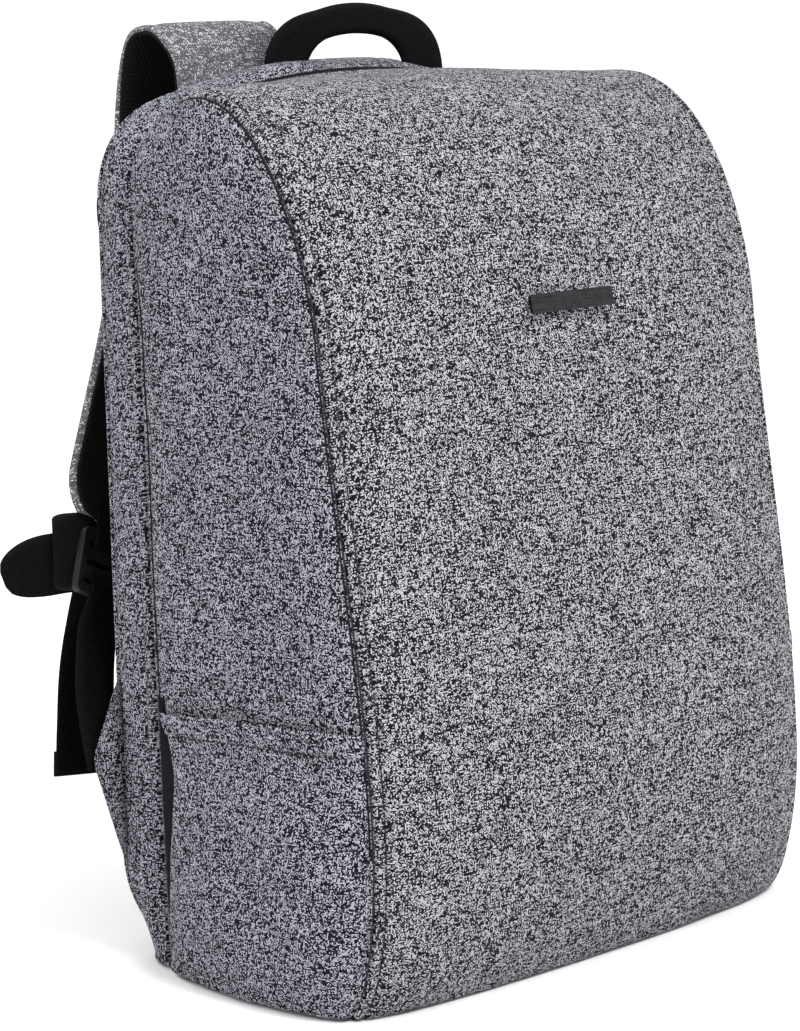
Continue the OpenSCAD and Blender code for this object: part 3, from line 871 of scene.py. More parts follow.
def build_side(name, side, materials):
    s = np.concatenate((np.linspace(0, 2, 84), np.linspace(2, 4, 64)[1:]))
    edge_f = np.array([0, 0.7, 1.5, 2.6, 4, 6, 9, 13, 18])
    edge_r = np.array([0, 0.5, 1.2, 2.4, 4.2, 5.4, 6.0, 6.6, 8, 10.5, 14])
    front = front_surface(s, np.ones(len(s)))
    rear_xz = rear_edge(s)
    rear = np.stack((rear_xz[:, 0], np.full(len(s), ZIP_Y - 0.5), rear_xz[:, 1]), 1)
    rows = []
    from_front, from_rear = [], []
    for f, r in zip(front, rear):
        span = max(np.linalg.norm(r - f), 1e-4)
        fit = min(1.0, span / 46)
        d = np.concatenate((edge_f * fit, np.linspace(edge_f[-1] * fit, span - edge_r[-1] * fit, 26)[1:-1],
                            span - edge_r[::-1] * fit))
        rows.append(f + (r - f) * (d / span)[:, None])
        from_front.append(d)
        from_rear.append(span - d)
    points, from_front, from_rear = np.array(rows), np.array(from_front), np.array(from_rear)
    points[..., 0] += swell(from_front, from_rear, points[..., 2])
    normals = normals_of(points)
    normals *= np.where(normals[..., :1] < 0, -1, 1)
    calm = smooth(from_front / 22) * smooth(from_rear / 18) * smooth((points[..., 2] - POCKET_H + 16) / 20)
    points = rumple(points, normals, 2.2, 60, 20.0 + side, calm)
    points = rumple(points, normals, 0.7, 22, 40.0 + side, calm)
    fade = smooth((from_front + from_rear) / 40)
    lift = profile(from_front, SIDE_SEAM) + profile(from_rear, ZIP_ROLL)
    points = points + normals * (lift * fade)[..., None]
    points[..., 2] = np.maximum(points[..., 2], 0.2)
    run = np.array([length_along(row) for row in points])
    middle = run.shape[1] // 2
    # Each panel takes its own part of the weave, so that left and right don't match.
    uvs = np.stack((run - run[:, [middle]] + points[:, [middle], 1] + 300 * side, points[..., 2]), 2)
    world = points * (side, 1, 1)
    panel = grid_piece(f"side_cloth_{name}", world, uvs, materials["side"], flip=side < 0, merge=0.02)
    thicken(panel, 3.4, materials["lining"])
    dress(panel, "shell", "heather_cloth", f"side_panel_{name}")
    keep = slice(40, -10)
    outwards = normals * (side, 1, 1)
    black = materials["black_thread_and_shade"]
    # Black cords along the side panel's front seam and along the groove near the zip: partly dark thread,
    # partly painted shade for the shadow in these grooves.
    seam_shade_cord(f"side_seam_cord_{name}", world[keep, 2], outwards[keep, 2], black, "shell", sink=-0.1)
    column = -7
    keep = slice(3, 108)
    seam_shade_cord(f"zip_fold_shade_cord_{name}", world[keep, column], outwards[keep, column], black, "shell",
              radius=0.45, sink=-0.1)

    rows = np.linspace(0.1, 3.7, 60)
    a, b = front_surface(rows, np.ones(60)), rear_edge(rows)
    u = np.linspace(0.05, 0.95, 24)[None, :, None]
    rear = np.stack((b[:, 0], np.full(60, ZIP_Y - 2), b[:, 1]), 1)
    inside = a[:, None] * (1 - u) + rear[:, None] * u
    flat = np.linalg.norm(rear - a, axis=1)[:, None]
    inside[..., 0] += swell(flat * u[..., 0], flat * (1 - u[..., 0]), inside[..., 2]) - 4.8
    inward = np.array((-1.0, 0, 0))
    inside = rumple(inside, inward, 1.4, 40, 60.0 + side) * (side, 1, 1)
    lining = grid_piece(f"side_lining_cloth_{name}", inside, inside[..., 1:], materials["lining"],
                        flip=side > 0)
    thicken(lining, 0.6)
    lining.modifiers["thickness"].offset = 1
    dress(lining, "shell", "lining_cloth", f"side_lining_{name}")


SLOT_AT = (0, 0.2, 0.45, 0.65, 0.78, 0.9, 1)            # heights up the pocket, as shares
SLOT_WIDTH = (6.5, 9.0, 13.0, 17.0, 18.5, 15.0, 8.0)    # how far the pocket's rear edge stands before the zip
POCKET_FOOT = 1.5


def build_pocket(name, side, materials):
    """Pocket sewn into the front seam, with a folded hem on top and an open rear edge over a black gusset."""
    edge_u, rear_u = np.array([0, 0.8, 1.8, 3, 5, 8, 12]), np.array([5, 3, 1.6, 0.7, 0])
    v = np.concatenate((np.linspace(0, 0.90, 34), np.linspace(0.91, 1, 14)))
    hem_drop, hem_band = 6.0, 11.0
    rows, front_d, rear_d, heights = [], [], [], []
    for k in v:
        z0 = POCKET_FOOT + (POCKET_H - POCKET_FOOT) * k
        front_y = seam_y(z0)
        rear_y = ZIP_Y - 1.0 - np.interp(k, SLOT_AT, SLOT_WIDTH)
        span = rear_y - front_y
        d = np.concatenate((edge_u, np.linspace(edge_u[-1], span - 8, 26)[1:], span - rear_u))
        y = front_y + d
        z = z0 - hem_drop * (d / span) ** 2 * k
        lift = 2.0 + 8.0 * math.sin(math.pi * min(k + 0.14, 1.0)) + 3.6 * (1 - k)
        across = (1 - np.exp(-d / 16)) * (1 - np.exp(-(span - d + 1.5) / 24))
        x = side_x(y, z) + 1.7 + lift * across
        rows.append(np.stack((x, y, z), 1))
        front_d.append(d)
        rear_d.append(span - d)
        heights.append(np.full(len(d), POCKET_H - z0))
    points = np.array(rows)
    front_d, rear_d, from_hem = np.array(front_d), np.array(rear_d), np.array(heights)
    normals = normals_of(points)
    normals *= np.where(normals[..., :1] < 0, -1, 1)
    calm = smooth(front_d / 16) * (0.25 + 0.75 * smooth(rear_d / 22))
    points = rumple(points, normals, 2.4, 38, 80.0 + side, calm)
    points = rumple(points, normals, 0.8, 15, 90.0 + side, calm)
    hem = profile(from_hem, ((0, 0.3), (1, 0.9), (hem_band - 1.6, 0.7), (hem_band, -0.5),
                             (hem_band + 1.4, 0.1), (hem_band + 6, 0)))
    rear_fold = profile(rear_d, ((0, -0.8), (1, 0.3), (2.4, 0.4), (5, 0)))
    lift = hem + profile(front_d, SIDE_SEAM) + rear_fold
    points = points + normals * lift[..., None]
    # The cloth turns under at the base and meets the base panel.
    under = [(1.0, 0.7), (3.0, 0.3), (7.0, 0.25)]
    foot = points[0]
    inner_x = side_x(foot[:, 1], foot[:, 2]) - 3
    turned = [np.stack((np.maximum(foot[:, 0] - back, inner_x), foot[:, 1], np.full(len(foot), z)), 1)
              for back, z in under[::-1]]
    points = np.concatenate((np.array(turned), points))
    run = np.array([length_along(row) for row in points])
    uvs = np.stack((run - run[:, [-1]] + 500 * side, points[..., 2]), 2)
    uvs[:3, :, 1] -= np.array([9, 5, 2])[:, None]
    world = points * (side, 1, 1)
    cloth = grid_piece(f"pocket_cloth_{name}", world, uvs, materials["side"], flip=side < 0)
    thicken(cloth, 1.5, materials["stretch"])
    # The rim round the pocket's edges takes the black stretch lining too; along the hem's top this is painted
    # shade for the dark line above the hem.
    cloth.modifiers["thickness"].material_offset_rim = 1
    dress(cloth, "shell", "heather_cloth", f"side_pocket_{name}")
    row = 3 + int(np.argmin(np.abs(from_hem[:, 0] - hem_band)))
    stitches(f"pocket_hem_stitches_{name}", world[row, 4:-2], normals[row - 3, 4:-2] * (side, 1, 1),
             materials["thread"], "shell", sink=-0.1)

    steps = np.linspace(0, 1, 8)
    zs = np.linspace(2, POCKET_H + 1, 44)
    rear = np.array([np.interp(zs, points[3:, -1, 2], points[3:, -1, k]) for k in (0, 1)]).T
    strip = []
    for (x, y), z in zip(rear, zs):
        ys = y - 3 + (ZIP_Y - 5.8 - y + 3) * steps
        xs = side_x(ys, z) + profile(ZIP_Y - ys, ZIP_ROLL) + 0.75
        strip.append([(a, b, z) for a, b in zip(xs, ys)])
    strip = np.array(strip)
    gusset = grid_piece(f"pocket_gusset_cloth_{name}", strip * (side, 1, 1), strip[..., 1:],
                        materials["stretch"], flip=side < 0)
    thicken(gusset, 0.8)
    dress(gusset, "shell", "stretch_cloth", f"pocket_gusset_{name}")


BASE_CORNER_R = 26.0


def build_base(materials):
    t = np.linspace(-1, 1, 41)
    front = front_surface(np.zeros(41), t)[:, :2] + (0, 2.0)
    r = BASE_CORNER_R
    corner = [(HALF_W - r + r * math.cos(a), BACK_Y - r + r * math.sin(a))
              for a in np.linspace(0, math.pi / 2, 8)]
    rear = corner + [(-x, y) for x, y in corner[::-1]]
    outline = loop_round(np.concatenate((front, rear)), 150)
    rings = ((0.02, 3.4), (0.5, 3.4), (0.97, 3.4), (0.99, 2.9), (0.995, 1.8), (0.99, 0.7), (0.975, 0.15),
             (0.5, 0.1), (0.02, 0.1))
    base = pillow("base_cloth", outline, rings, lambda a, b, h: (a, b, h), materials["side"])
    dress(base, "shell", "heather_cloth", "base_panel")


# ---- back section -------------------------------------------------------------------------------

# Y of each row of the gusset, and how far it stands out from the arch
GUSSET_PROFILE = ((77.2, -6.0), (76.6, -3.6), (76.5, -1.8), (76.8, -0.6), (77.6, 0.35), (79.0, 1.0),
                  (80.6, 1.0), (82.0, 0.5), (82.7, -0.5), (83.4, 0.4), (85.2, 1.1), (88.5, 1.6), (92.5, 1.8),
                  (96.5, 1.7), (99.8, 1.3), (102.4, 0.7), (104.2, -0.2), (105.3, -1.4), (105.4, -3.0))
GUSSET_STITCH = 8       # row of that profile that the stitches sit in


def build_gusset(materials):
    rows, outs = [], []
    foot = 4.2
    for y, out in GUSSET_PROFILE:
        k = (y - ZIP_Y) / (BACK_Y - ZIP_Y)
        line = arch(k, 0, foot)
        normal = arch_out(line)
        shifted = line + normal * out
        rows.append(np.stack((shifted[:, 0], np.full(len(line), y), shifted[:, 1]), 1))
        outs.append(np.stack((normal[:, 0], np.zeros(len(line)), normal[:, 1]), 1))
    points, outs = np.array(rows), np.array(outs)
    ys = points[..., 1]
    calm = smooth((ys - 84) / 5) * smooth((103 - ys) / 4)
    points = rumple(points, outs, 1.6, 30, 120.0, calm)
    uvs = np.stack((ys, np.broadcast_to(length_along(points[9]), ys.shape)), 2)
    gusset = grid_piece("gusset_cloth", points, uvs, materials["side"], flip=True)
    thicken(gusset, 1.8, materials["lining"])
    dress(gusset, "back_section", "heather_cloth", "rear_gusset")
    crown = slice(100, -100)
    seam_shade_cord("zip_shadow_top", points[4, crown], outs[4, crown], materials["black_thread_and_shade"], "back_section",
              radius=0.8, sink=-0.2)
    stitched = (GUSSET_STITCH, slice(6, -6))
    stitches("gusset_topstitch", points[stitched], outs[stitched], materials["thread"], "back_section",
             sink=-0.15)


def ring_along(name, path2d, y, radius, material):
    """A round piping along an XZ path at one Y."""
    normal = arch_out(path2d)
    turns = np.linspace(0, 2 * math.pi, 9)[:-1]
    points = np.array([[(p[0] + n[0] * radius * math.cos(a), y + radius * math.sin(a),
                         p[1] + n[1] * radius * math.cos(a)) for a in turns] for p, n in zip(path2d, normal)])
    uvs = uv_grid(np.linspace(0, 2 * math.pi * radius, 9), length_along(path2d))
    return grid_piece(name, points, uvs, material, closed=True, caps=True)


def build_back_panel(materials):
    def upright(a, b, height):
        return a, height, b

    def sheet(name, outline, y0, y1, material):
        rings = [(0.02, y0), (0.5, y0), (1.0, y0), (1.0, y1), (0.5, y1), (0.02, y1)]
        return pillow(name, loop_round(outline, 160), rings, upright, material)

    outline = loop_round(arch(1, 1.2, 4.5), 220)
    scales = (0.02, 0.2, 0.4, 0.6, 0.75, 0.86, 0.93, 0.965, 0.985, 0.995, 1.0)
    rear = [(k, PADS_Y - 0.2 - 2.4 * k**24) for k in scales]
    rings = [(k, BACK_Y - 0.1) for k in scales[:-1]] + [(1.0, BACK_Y + 0.1)] + rear[::-1]
    panel = pillow("back_panel_cloth", outline, rings, upright, materials["back"])
    dress(panel, "back_section", "back_cloth", "back_panel")
    piping = ring_along("back_piping", arch(1, 1.2, 5), BACK_Y + 2.2, 1.3, materials["side"])
    dress(piping, "back_section", "heather_cloth")
    board = sheet("back_board_sheet", arch(1, 6, 8), BACK_Y - 3.4, BACK_Y - 1.2, materials["board"])
    dress(board, "back_section", "stiff_board", "back_board")
    lining = sheet("back_lining_cloth", arch(1, 7, 8), 100.0, 100.4, materials["lining"])
    dress(lining, "back_section", "lining_cloth")


PAD_T = 7.5
PAD_VOXEL = 5.0
PAD_PRESSURE = 4.0
PAD_CAP = 3.5           # farthest that the simulation may move a point


def simulate(piece):
    """Blows a pad up as sewn cloth over foam, with its sewn face held, and caps how far a point moves."""
    remesh = piece.modifiers.new("remesh", "REMESH")
    remesh.mode = "VOXEL"
    remesh.voxel_size = PAD_VOXEL * MM
    apply_modifiers(piece)
    rest = np.array([v.co for v in piece.data.vertices])
    held = piece.vertex_groups.new(name="held")
    held.add([i for i, p in enumerate(rest) if p[1] < PADS_Y * MM + 0.0012], 1.0, "REPLACE")
    cloth = piece.modifiers.new("cloth", "CLOTH")
    cloth.settings.quality = 6
    cloth.settings.mass = 0.25
    cloth.settings.tension_stiffness = 12
    cloth.settings.compression_stiffness = 12
    cloth.settings.bending_stiffness = 0.4
    cloth.settings.use_pressure = True
    cloth.settings.uniform_pressure_force = PAD_PRESSURE
    cloth.settings.effector_weights.gravity = 0
    cloth.settings.vertex_group_mass = "held"
    cloth.collision_settings.use_collision = False
    scene = bpy.context.scene
    for number in range(1, 21):
        scene.frame_set(number)
    graph = bpy.context.evaluated_depsgraph_get()
    moved = np.array([v.co for v in piece.evaluated_get(graph).data.vertices])
    piece.modifiers.clear()
    scene.frame_set(1)
    shift = moved - rest
    far = np.linalg.norm(shift, axis=1)[:, None]
    shift *= np.minimum(1, PAD_CAP * MM / np.maximum(far, 1e-9))
    piece.data.vertices.foreach_set("co", (rest + shift).astype(np.float32).ravel())
    piece.vertex_groups.clear()


def build_pad(name, centre, size, channels, materials, node):
    """A foam pad under spacer mesh, sewn down along straight channels."""
    w, h = size
    outline = rounded_outline(w - 4, h - 4, 18) + np.array(centre)
    rings = [(0.02, 0.0), (0.6, 0.0), (0.985, 0.0), (1.0, 1.5), (0.99, 4.5), (0.95, PAD_T - 0.6),
             (0.7, PAD_T), (0.02, PAD_T)]
    pad = pillow(name, outline, rings, lambda a, b, hgt: (a, PADS_Y + 0.1 + hgt, b), materials["mesh"])
    simulate(pad)
    fine = pad.modifiers.new("fine", "SUBSURF")
    fine.levels = fine.render_levels = 1
    apply_modifiers(pad)
    points = np.array([v.co for v in pad.data.vertices]) / MM
    lift = np.clip((points[:, 1] - PADS_Y) / PAD_T, 0, 1.3)
    for (x0, z0), (x1, z1) in channels:
        line = np.array((x1 - x0, z1 - z0))
        rel = points[:, (0, 2)] - (x0, z0)
        share = np.clip(rel @ line / (line @ line), 0, 1)
        gap = np.linalg.norm(rel - share[:, None] * line, axis=1)
        points[:, 1] -= 4.6 * np.exp(-(gap / 3.4) ** 2) * lift
    points[:, 1] = np.maximum(points[:, 1], PADS_Y + 0.05)
    pad.data.vertices.foreach_set("co", (points * MM).astype(np.float32).ravel())
    pad.data.update()
    layer = pad.data.uv_layers.get("UVMap") or pad.data.uv_layers.new(name="UVMap")
    loops = np.zeros(len(pad.data.loops), np.int32)
    pad.data.loops.foreach_get("vertex_index", loops)
    layer.data.foreach_set("uv", (points[loops][:, (0, 2)] * MM).astype(np.float32).ravel())
    pad.data.materials.clear()
    pad.data.materials.append(materials["mesh"])
    pad.data.polygons.foreach_set("material_index", [0] * len(pad.data.polygons))
    pad.data.polygons.foreach_set("use_smooth", [True] * len(pad.data.polygons))
    dress(pad, "back_section", "spacer_mesh", node)
    edge = rounded_outline(w - 1, h - 1, 19.5) + np.array(centre)
    edge = np.concatenate((edge, edge[:1]))
    normal = arch_out(edge)
    section = np.array([(-2.4, 0.1), (-2.0, 1.0), (0, 1.5), (1.6, 1.1), (2.0, 0.1)])
    rows = np.array([[(p[0] + n[0] * a, PADS_Y + b, p[1] + n[1] * a) for a, b in section]
                     for p, n in zip(edge, normal)])
    uvs = uv_grid(np.append(section[:, 0], 6), length_along(edge))
    binding = grid_piece(f"{name}_binding", rows, uvs, materials["webbing"], closed=True, merge=0.01)
    dress(binding, "back_section", "webbing")


def build_pads(materials):
    for name, side in SIDES:
        x = 62.0 * side
        bands = [((x - 48, z), (x + 48, z)) for z in (150, 205, 260, 315)]
        build_pad(f"back_pad_mesh_{name}", (x, 228.0), (96, 250), bands, materials, f"back_pad_{name}")
    bands = [((x, 16), (x, 96)) for x in (-60, 0, 60)]
    build_pad("lumbar_pad_mesh", (0.0, 56.0), (236, 78), bands, materials, "lumbar_pad")


# ---- straps, webbing and handle -----------------------------------------------------------------


def strap_stations(name):
    """The strap's middle line, its width and face directions, half widths and share of full thickness."""
    s = np.linspace(0, 3, 121)
    path = along(STRAP_CURVES[name], s)
    run = length_along(path)
    from_tip = run[-1] - run
    round_len = 24.0
    tip = np.where(from_tip < round_len,
                   0.28 + 0.72 * np.sqrt(np.maximum(1 - (1 - from_tip / round_len) ** 2, 0)), 1)
    half = (STRAP_W / 2 + ROOT_FLARE * (1 - smooth(s / 2))) * tip
    turned = np.where(s < 1, smooth((s - 0.45) / 0.55), 1 - smooth((s - 1) / 1.3))
    turn = np.radians(CREST_TURN[name]) * turned
    tangent = directions_along(path)
    level = np.stack((np.cos(turn), np.sin(turn), np.zeros(len(s))), 1)
    lean = tangent * (1, 0, 1)
    width = unit(level - (level * lean).sum(1)[:, None] * lean)
    face = unit(np.cross(tangent, width))
    return path, (tangent, width, face), half, 0.42 + 0.58 * smooth((s - 0.9) / 0.9)


def foam_section(half, thick):
    """Cloth round the foam: a crowned outer face that rolls over the edges to the mesh side."""
    a = np.array([-0.94, -0.975, -0.995, -1, -0.99, -0.965, -0.91, -0.82, -0.6, -0.3, 0])
    rise = np.array([-0.2, 0.1, 1.2, 2.8, 4.4, 5.8, 7.0, 7.7, 8.4, 8.9, 9.0])
    rise = np.where(rise > 0, rise * thick / STRAP_T, rise)
    groove = 0.8 * np.exp(-((-a * half - (half - 5.5)) / 1.1) ** 2) * (rise > 4 * thick / STRAP_T)
    left = [(x * half, -(y - g)) for x, y, g in zip(a, rise, groove)]
    return left + [(-x, y) for x, y in left[-2::-1]]


def build_strap(name, side, materials):
    path, directions, half, thin = strap_stations(name)

    sections = [foam_section(h, STRAP_T * t) for h, t in zip(half, thin)]
    foam = strip_piece(f"strap_cloth_{name}", path, sections, materials["strap"], side=side,
                       directions=directions)
    dress(foam, None, "heather_cloth", f"strap_pad_{name}", f"strap_root_{name}")
    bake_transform(foam)

    def mesh_section(h):
        w = h * 0.985
        left = [(-w * 0.98, -0.3), (-w, 0.9), (-w * 0.99, 1.7), (-w * 0.95, 2.3), (-w * 0.8, 2.6),
                (-w * 0.4, 2.7), (0, 2.7)]
        return left + [(-x, y) for x, y in left[-2::-1]]

    inner = strip_piece(f"strap_mesh_face_{name}", path, [mesh_section(h) for h in half], materials["mesh"],
                        side=side, directions=directions)
    dress(inner, None, "spacer_mesh", f"strap_mesh_{name}")
    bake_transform(inner)


LOCK_AT = np.array((126.4, 137.6, 188.6))
LOCK_TURN = Matrix.Rotation(math.radians(-25), 3, "Y") @ Matrix.Rotation(math.radians(-12), 3, "X")


def on_lock(x, y, z):
    """A point given in the ladder lock's own frame, where Z runs up the strap."""
    return LOCK_AT + np.array(LOCK_TURN @ Vector((x, y, z)))


def web_strip(name, path, width, materials, side, body, *nodes, wide=(1, 0, 0), thickness=WEBBING_T,
              count=40):
    """Webbing on a smooth curve through a few points."""
    path = resample(smooth_path(path), count)
    section = webbing_section(width, thickness)
    piece = strip_piece(name, path, [section] * count, materials["webbing"], wide=wide, side=side)
    return dress(piece, body, "webbing", *nodes)


def smooth_path(points, steps=8):
    """A Catmull-Rom curve through a few points."""
    p = np.array([points[0], *points, points[-1]], float)
    line = []
    for k in range(1, len(p) - 2):
        for t in np.linspace(0, 1, steps, endpoint=False):
            a, b, c, d = p[k - 1:k + 3]
            line.append(0.5 * (2 * b + (c - a) * t + (2 * a - 5 * b + 4 * c - d) * t * t
                               + (3 * b - a - 3 * c + d) * t**3))
    line.append(p[-2])
    return np.array(line)


def build_webbing(name, side, materials):
    body = f"strap_{name}"
    across = tuple(np.array(LOCK_TURN @ Vector((1, 0, 0))))
    loop = [on_lock(0, y, z) for y, z in ((1.2, 30), (2.6, 20), (4.2, 13), (3.6, 8.2), (0, 7.0), (-3.6, 8.2),
                                          (-4.2, 13), (-3.0, 20), (-2.0, 30))]
    web_strip(f"load_loop_{name}", loop, 26, materials, side, body, f"load_webbing_{name}", wide=across)
    tail = [on_lock(0, 2.2, -1.0), on_lock(0, 5.2, -4), on_lock(0, 6.6, -10), (131, 149, 160),
            (135, 151, 136), (138, 151, 110), (141, 150, 86)]
    web_strip(f"webbing_tail_{name}", tail, WEBBING_W, materials, side, body, f"strap_tail_{name}", count=60)
    hem = [(139.9, 151.6, 97), (140.6, 151.4, 90), (141.2, 150.9, 84.6)]
    web_strip(f"webbing_tail_hem_{name}", hem, WEBBING_W + 0.3, materials, side, body, thickness=3.2, count=8)
    build_adjuster_tab(name, side, materials)

    lower = [on_lock(0, -3.4, -5.0), on_lock(0, -4.4, -12), (138, 131, 164), (145, 126, 150), (153, 118, 130),
             (157.5, 109, 110), (158, 105.5, 98)]
    path = resample(smooth_path(lower), 48)
    section = webbing_section(WEBBING_W * 0.8, WEBBING_T)
    piece = strip_piece(f"lower_web_{name}", path, [section] * 48, materials["webbing"], side=side)
    dress(piece, None, "webbing", f"lower_webbing_{name}")
    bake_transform(piece)

    soft_edged(f"ladder_lock_{name}", body, "buckle_plastic", materials["plastic"], 0.7)


def finish_cad(name, material):
    """Gives a carried-over CAD node its finish."""
    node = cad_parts[name]
    node.data.materials.clear()
    node.data.materials.append(material)


def soft_edged(name, body, slot, material, bevel):
    """A copy of a hard CAD node with its edges rounded, which stands for the node."""
    piece = bpy.data.objects.new(f"{name}_finished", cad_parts[name].data.copy())
    bpy.context.scene.collection.objects.link(piece)
    piece.data.materials.clear()
    piece.data.materials.append(material)
    weld = piece.modifiers.new("weld", "WELD")
    weld.merge_threshold = 0.01 * MM
    edges = piece.modifiers.new("edges", "BEVEL")
    edges.width = bevel * MM
    edges.segments = 3
    edges.limit_method = "ANGLE"
    edges.angle_limit = math.radians(40)
    apply_modifiers(piece)
    return dress(piece, body, slot, name)


def build_adjuster_tab(name, side, materials):
    """Black adjuster tab, with its end folded double, and the webbing wound round the lock beside it."""
    body = f"strap_{name}"
    path = resample(smooth_path([(118, 143.5, 192), (127, 146.5, 192), (139, 153, 192), (152, 161.5, 190),
                                 (165.5, 170.8, 185)]), 36)
    run = length_along(path)
    from_end = run[-1] - run
    half = 4 + 11.5 * np.sqrt(1 - (1 - np.clip(from_end / 24, 0, 1)) ** 2)
    plump = 3.4 + 4.0 * np.sin(np.pi * np.clip(from_end / 36, 0, 1))
    sections = [webbing_section(2 * h, t, edge=0.5) for h, t in zip(half, plump)]
    tab = strip_piece(f"adjuster_tab_web_{name}", path, sections, materials["webbing"], wide=(0, 0, 1),
                      side=side)
    dress(tab, body, "webbing", f"adjuster_tab_{name}")
    heading = np.array((math.cos(math.radians(34)), math.sin(math.radians(34)), 0))
    beside = np.array((-heading[1], heading[0], 0))
    centre = np.array((134.5, 150.5, 197.0))
    turns = np.radians(np.linspace(-20, 360, 60))
    wound = [centre + beside * 9.0 * math.cos(a) + np.array((0, 0, 16.5)) * math.sin(a) + heading * a * 0.6
             for a in turns]
    section = [(math.copysign(abs(math.cos(t)) ** 0.6, math.cos(t)) * 10.5, math.sin(t) * 3.0)
               for t in np.linspace(0, 2 * math.pi, 25)[:-1]]
    knot = strip_piece(f"lock_wrap_{name}", wound, [section] * 60, materials["webbing"], wide=tuple(heading),
                       side=side)
    dress(knot, body, "webbing")


def build_handle(materials):
    """Webbing handle: wide flat feet that fold together into a narrow grip."""
    half, foot, top = 48.5, 422.0, 454.0
    angles = np.radians(np.linspace(0, 180, 91))
    path = np.array([(HANDLE_X + half * math.cos(a), 101.3, foot + (top - foot) * math.sin(a) ** 0.75)
                     for a in angles])
    path = resample(path, 91)
    share = np.abs(np.linspace(-1, 1, 91))
    sections = []
    for k in share:
        foot_share = smooth((k - 0.30) / 0.55)
        sections.append(webbing_section(15.5 + 13.0 * foot_share, 4.6 - 2.2 * foot_share, edge=0.45))
    tangent = directions_along(path)
    face = np.broadcast_to((0, 1.0, 0), path.shape)
    handle = strip_piece("handle_webbing", path, sections, materials["webbing"],
                         directions=(tangent, np.cross(face, tangent), face))
    dress(handle, None, "webbing", "carry_handle")
    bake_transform(handle)


def build_wing(name, side, materials):
    """Folded cloth triangle at the foot of the back section, which holds the lower webbing."""
    zs = np.linspace(46, 142, 30)
    reach = np.interp(zs, (46, 100, 106, 142), (0.8, 17.6, 17.6, 0.8))
    rows = []
    for z, r in zip(zs, reach):
        r = float(r) + 0.01
        t = min(1.0, r / 6)
        loop = [(0, 0.9 * t), (r * 0.5, 1.9 * t), (r * 0.9, 1.6 * t), (r + 0.6 * t, 0.2), (r * 0.9, -1.4 * t),
                (r * 0.5, -1.7 * t), (0, -0.9 * t)]
        rows.append([(HALF_W - 1 + x, BACK_Y - 1.2 + h, z) for x, h in loop])
    uvs = uv_grid(np.linspace(0, 40, 8), zs)
    wing = grid_piece(f"wing_cloth_{name}", np.array(rows) * (side, 1, 1), uvs, materials["side"],
                      closed=True, caps=True)
    dress(wing, "back_section", "heather_cloth", f"wing_{name}")


def build_anchor(name, side, materials):
    outline = loop_round(np.array([(16, 372), (86, 372), (82, 418), (20, 422)], float), 64)
    rings = [(0.02, 0.1), (0.97, 0.1), (1.0, 0.4), (1.0, 1.1), (0.985, 1.6), (0.9, 1.7), (0.02, 1.8)]
    patch = pillow(f"anchor_cloth_{name}", outline * (side, 1), rings,
                   lambda a, b, h: (a, PADS_Y - 0.2 + h, b), materials["strap"])
    dress(patch, "back_section", "heather_cloth", f"strap_anchor_{name}")
    inner = np.array([(20, 375.5), (82, 375.5), (79, 415), (23.5, 418), (20, 375.5)]) * (side, 1)
    line = resample(inner, 90)
    path = np.stack((line[:, 0], np.full(90, PADS_Y + 1.6), line[:, 1]), 1)
    stitches(f"anchor_stitches_{name}", path, np.broadcast_to((0, 1.0, 0), path.shape), materials["thread"],
             "back_section")


def build_small_webs(name, side, materials):
    tab = ((-0.8, 377), (3.6, 373), (4.4, 366), (3.6, 359), (-0.8, 355))
    web_strip(f"side_loop_{name}", [(137.4, PADS_Y + y, z) for y, z in tab], 9, materials, side,
              "back_section", f"side_tab_{name}", thickness=1.2, count=24)


# ---- inside -------------------------------------------------------------------------------------

def box_sheet(name, corners, material, rough):
    """A slightly uneven sheet of cloth with four corners, given round its edge."""
    a, b, c, d = (np.array(p, float) for p in corners)
    steps = np.linspace(0, 1, 21)
    u, v = steps[None, :, None], steps[:, None, None]
    points = (a * (1 - u) + b * u) * (1 - v) + (d * (1 - u) + c * u) * v
    points = rumple(points, unit(np.cross(b - a, d - a)), rough, 40, 0.0)
    uvs = uv_grid(steps * np.linalg.norm(b - a), steps * np.linalg.norm(d - a))
    return thicken(grid_piece(name, points, uvs, material), 1.6)


def build_inside(materials):
    organiser = build_tray("organiser_mesh", (-108, 108), (-74, -50), (44, 166), 1.6,
                           materials["pocket_mesh"])
    dress(organiser, "shell", "pocket_mesh", "organiser_pocket")
    hem = resample([(-108, -50.6, 165), (108, -50.6, 165)], 30)
    piece = strip_piece("organiser_hem", hem, [webbing_section(10, 2.6)] * 30, materials["webbing"],
                        wide=(0, 0, 1))
    dress(piece, "shell", "webbing")
    build_pen_sleeve(materials)
    build_laptop_sleeve(materials)


def build_tray(name, xs, ys, zs, wall, material):
    """An open-topped pocket: outer and inner walls joined round the top."""
    def loop(inset, z, sag):
        x0, x1, y0, y1 = xs[0] + inset, xs[1] - inset, ys[0] + inset, ys[1] - inset
        outline = rounded_outline(x1 - x0, y1 - y0, 3.0, 4) + ((x0 + x1) / 2, (y0 + y1) / 2)
        line = loop_round(outline, 120)
        bow = np.sin(math.pi * (line[:, 0] - xs[0]) / (xs[1] - xs[0])) * (line[:, 1] > ys[1] - 4)
        return np.stack((line[:, 0], line[:, 1] - sag * bow, np.full(len(line), z)), 1)

    rows = [loop(8, zs[0], 0)] + [loop(0, z, 0.8) for z in np.linspace(zs[0], zs[1], 16)]
    rows += [loop(wall, z, 0.8) for z in np.linspace(zs[1], zs[0] + wall, 16)] + [loop(8, zs[0] + wall, 0)]
    points = np.array(rows)
    lengths = np.concatenate(([0], np.linspace(8, 130, 16), np.linspace(132, 250, 16), [260]))
    uvs = uv_grid(length_along(np.concatenate((points[4], points[4][:1]))), lengths)
    return grid_piece(name, points, uvs, material, closed=True, caps=True)


PEN_SLOTS = 3


